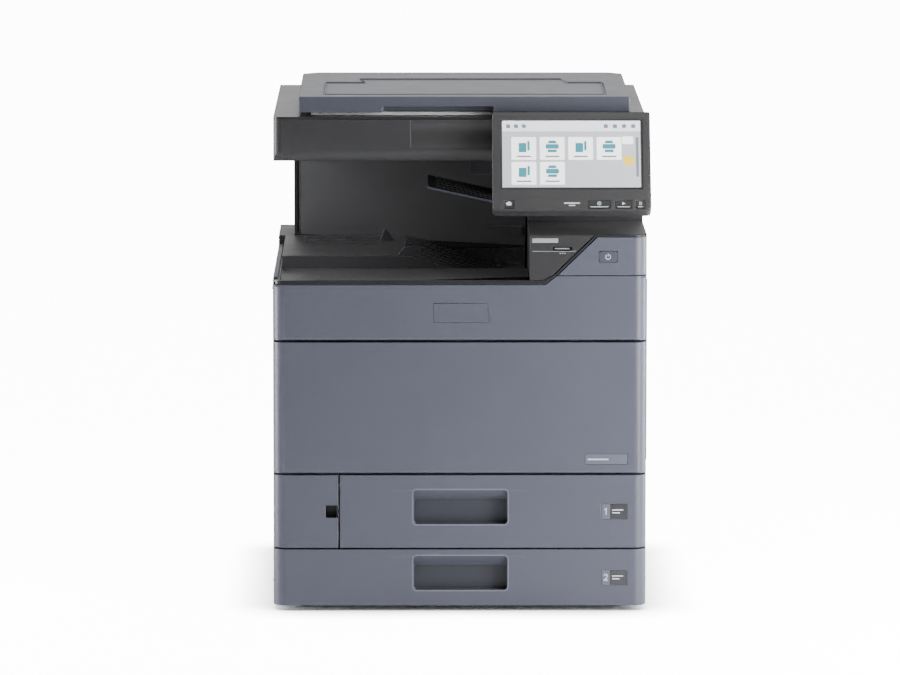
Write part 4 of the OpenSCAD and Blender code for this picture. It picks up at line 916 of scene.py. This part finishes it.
def rear_details():
    """Screws of the outer covers, a blank rating plate, and the data sockets with their contacts."""
    xs = [LEFT + 14, 0, RIGHT - 14]
    zs = [24, 190, 360, 500, SCAN_LOW.z - 14]
    points = [(max(x, TOWER_LEFT + 12) if z > FLOOR_Z else x, REAR + 0.7, z) for x in xs for z in zs]
    grown("rear_cover_screws", "screws", "steel", "frame", "steel", points, Radius=3.6 * MM,
          Height=1.5 * MM, Turn=(-math.pi / 2, 0, 0))
    left = [(LEFT - 0.7, y, z) for y in (FACE + 60, 0, REAR - 40) for z in (40, FLOOR_Z - 14)]
    grown("left_cover_screws", "screws", "steel", "frame", "steel", left, Radius=3.4 * MM,
          Height=1.4 * MM, Turn=(0, -math.pi / 2, 0))
    right = [(RIGHT + 0.7, y, 40) for y in (FACE + 60, 0, REAR - 40)]
    grown("right_cover_screws", "screws", "steel", "frame", "steel", right, Radius=3.4 * MM,
          Height=1.4 * MM, Turn=(0, math.pi / 2, 0))
    plate = Shape().prism(rounded(40, 60, 130, 108, 2, 4), 0, 0.35, on_rear())
    plate.piece("rating_plate_blank", "label_plate", "frame", "lid_plastic", bevel=0.1)
    bars = Shape()
    for i, share in enumerate((0.9, 0.6, 0.75, 0.5)):
        bars.prism(rounded(47, 94 - i * 8, 47 + 76 * share, 96.4 - i * 8, 0.6, 2), 0.35, 0.42, on_rear())
    bars.piece("rating_plate_bars", "ink_dark", "frame", "black_plastic")
    sockets = Shape()
    for i in range(3):
        x = LEFT + 60 + i * 34
        sockets.block((x - 1, REAR - 14, FLOOR_Z + 39), (x + 21, REAR - 12, FLOOR_Z + 57))
        for a, b, c, d in ((0, 0, 20, 3), (0, 13, 20, 16), (0, 3, 3, 13), (17, 3, 20, 13)):
            sockets.block((x + a, REAR - 12.5, FLOOR_Z + 40 + b), (x + c, REAR - 0.6, FLOOR_Z + 40 + d))
    sockets.piece("data_sockets", "black_plastic", "frame", "black_plastic")
    for i in range(3):
        grown(f"socket_contacts_{i + 1}", "bars", "brass", "frame", "steel", Count=8,
              Start=mm3(LEFT + 60 + i * 34 + 5.1, REAR - 7, FLOOR_Z + 52), Step=mm3(1.4, 0, 0),
              Bar=mm3(0.5, 9, 0.6))


def lid_details():
    """Painted shade: dark strips along the sides and back of the recess in the document cover, where a
    deeper recess would lie in shade.
    """
    low, high = box_mm("document_cover")
    x0, x1, y0, top = low.x, high.x, low.y, high.z
    # Thin dark strips on the recess floor, as painted shade.
    steps = Shape()
    path = [(x0 + 39, y0 + 36), (x0 + 39, y0 + 246), (x0 + 101, y0 + 246), (x0 + 92, y0 + 306),
            (x1 - 100, y0 + 306), (x1 - 90, y0 + 246), (x1 - 37, y0 + 246), (x1 - 37, y0 + 36)]
    inner = [(x0 + 42, y0 + 36), (x0 + 42, y0 + 242), (x0 + 104.6, y0 + 242), (x0 + 95.6, y0 + 302),
             (x1 - 103.4, y0 + 302), (x1 - 93.4, y0 + 242), (x1 - 40, y0 + 242), (x1 - 40, y0 + 36)]
    for i in range(len(path) - 1):
        steps.prism([path[i], path[i + 1], inner[i + 1], inner[i]], 0.02, 0.2, on_top(top - 1.2))
    steps.piece("cover_recess_painted_shade", "pocket_shade", "document_cover", "lid_plastic")


def scanner_details():
    """Lamp, reflector and screws of the scanning carriages."""
    low, high = box_mm("lamp_carriage")
    lamp = Shape().block((low.x + 16, low.y + 24, high.z - 0.2), (low.x + 22, high.y - 24, high.z + 1.6))
    lamp.piece("scan_lamp", "lamp_white", "lamp_carriage", "light_pipe", bevel=0.5)
    glass = Shape().block((low.x + 25, low.y + 24, high.z - 0.1), (low.x + 33, high.y - 24, high.z + 0.7))
    glass.piece("lamp_reflector", "mirror", "lamp_carriage", "steel", bevel=0.2)
    for node in ("lamp_carriage", "mirror_carriage"):
        low, high = box_mm(node)
        ends = [((low.x + high.x) / 2, y, high.z + 0.4) for y in (low.y + 9, high.y - 9)]
        grown(node + "_screws", "screws", "steel", node, "steel", ends, Radius=2.6 * MM,
              Height=1.0 * MM, Turn=(0, 0, 0))


def inner_details():
    """Bottle grooves and grips, lift plates and tray ticks, which show when a cover or drawer is open."""
    for i in range(1, 5):
        low, high = box_mm(f"toner_bottle_{i}")
        x, z, r = (low.x + high.x) / 2, (low.z + high.z) / 2, (high.x - low.x) / 2
        body = f"toner_bottle_{i}"
        grown(f"bottle_{i}_grooves", "rings", SLOT_OF[body], body, SLOT_OF[body], Count=14,
              Start=mm3(x, low.y + 40, z), Step=mm3(0, 30, 0), Radius=(r - 0.5) * MM, Cord=1.1 * MM)
        lever = Shape().prism(rounded(x - 3, z - 20, x + 3, z + 20, 2.5, 5), -9, 0.4, on_face(low.y))
        lever.piece(f"bottle_{i}_grip", "ink_light", body, "lid_plastic", bevel=0.6)
    for k in (1, 2):
        low, high = box_mm(f"drawer_tray_{k}")
        inner = box_mm(f"end_guide_{k}")[1].x
        plate = Shape().block((inner + 206, low.y + 136, low.z + 2.6),
                              (high.x - 4, high.y - 136, low.z + 3.1))
        plate.piece(f"lift_plate_{k}", "steel", f"drawer_{k}", "steel", bevel=0.15)
        grown(f"tray_size_ticks_{k}", "bars", "ink_light", f"drawer_{k}", "lid_plastic", Count=12,
              Start=mm3(low.x + 40, low.y + 1.2, high.z + 0.06), Step=mm3(16, 0, 0),
              Bar=mm3(0.8, 2, 0.1))


def side_details():
    """Ribs of the side tray's extension and the dark finger grip on the side tray."""
    low, high = box_mm("mp_extension")
    grown("extension_ribs", "bars", "dark_plastic", "mp_extension", "dark_plastic", Count=5,
          Start=mm3(low.x - 0.3, low.y + 40, (low.z + high.z) / 2), Step=mm3(0, 38, 0),
          Bar=mm3(0.6, 2, high.z - low.z - 16))
    low, high = box_mm("mp_tray")
    lip = Shape().prism(rounded(low.y + 60, high.z - 26, high.y - 60, high.z - 12, 4, 5), 0, 0.5,
                        lambda a, b, c: Vector((high.x + c - 0.2, a, b)))
    lip.piece("side_tray_hold", "dark_plastic", "mp_tray", "dark_plastic", bevel=0.2)


make_camera()
make_lights()
make_floor()
dress_nodes()
screen_layout()
screen_frame()
key_signs()
drawer_marks(1)
drawer_marks(2)
plates()
shelf_details()
bay_details()
platen_details()
rear_details()
lid_details()
scanner_details()
inner_details()
side_details()
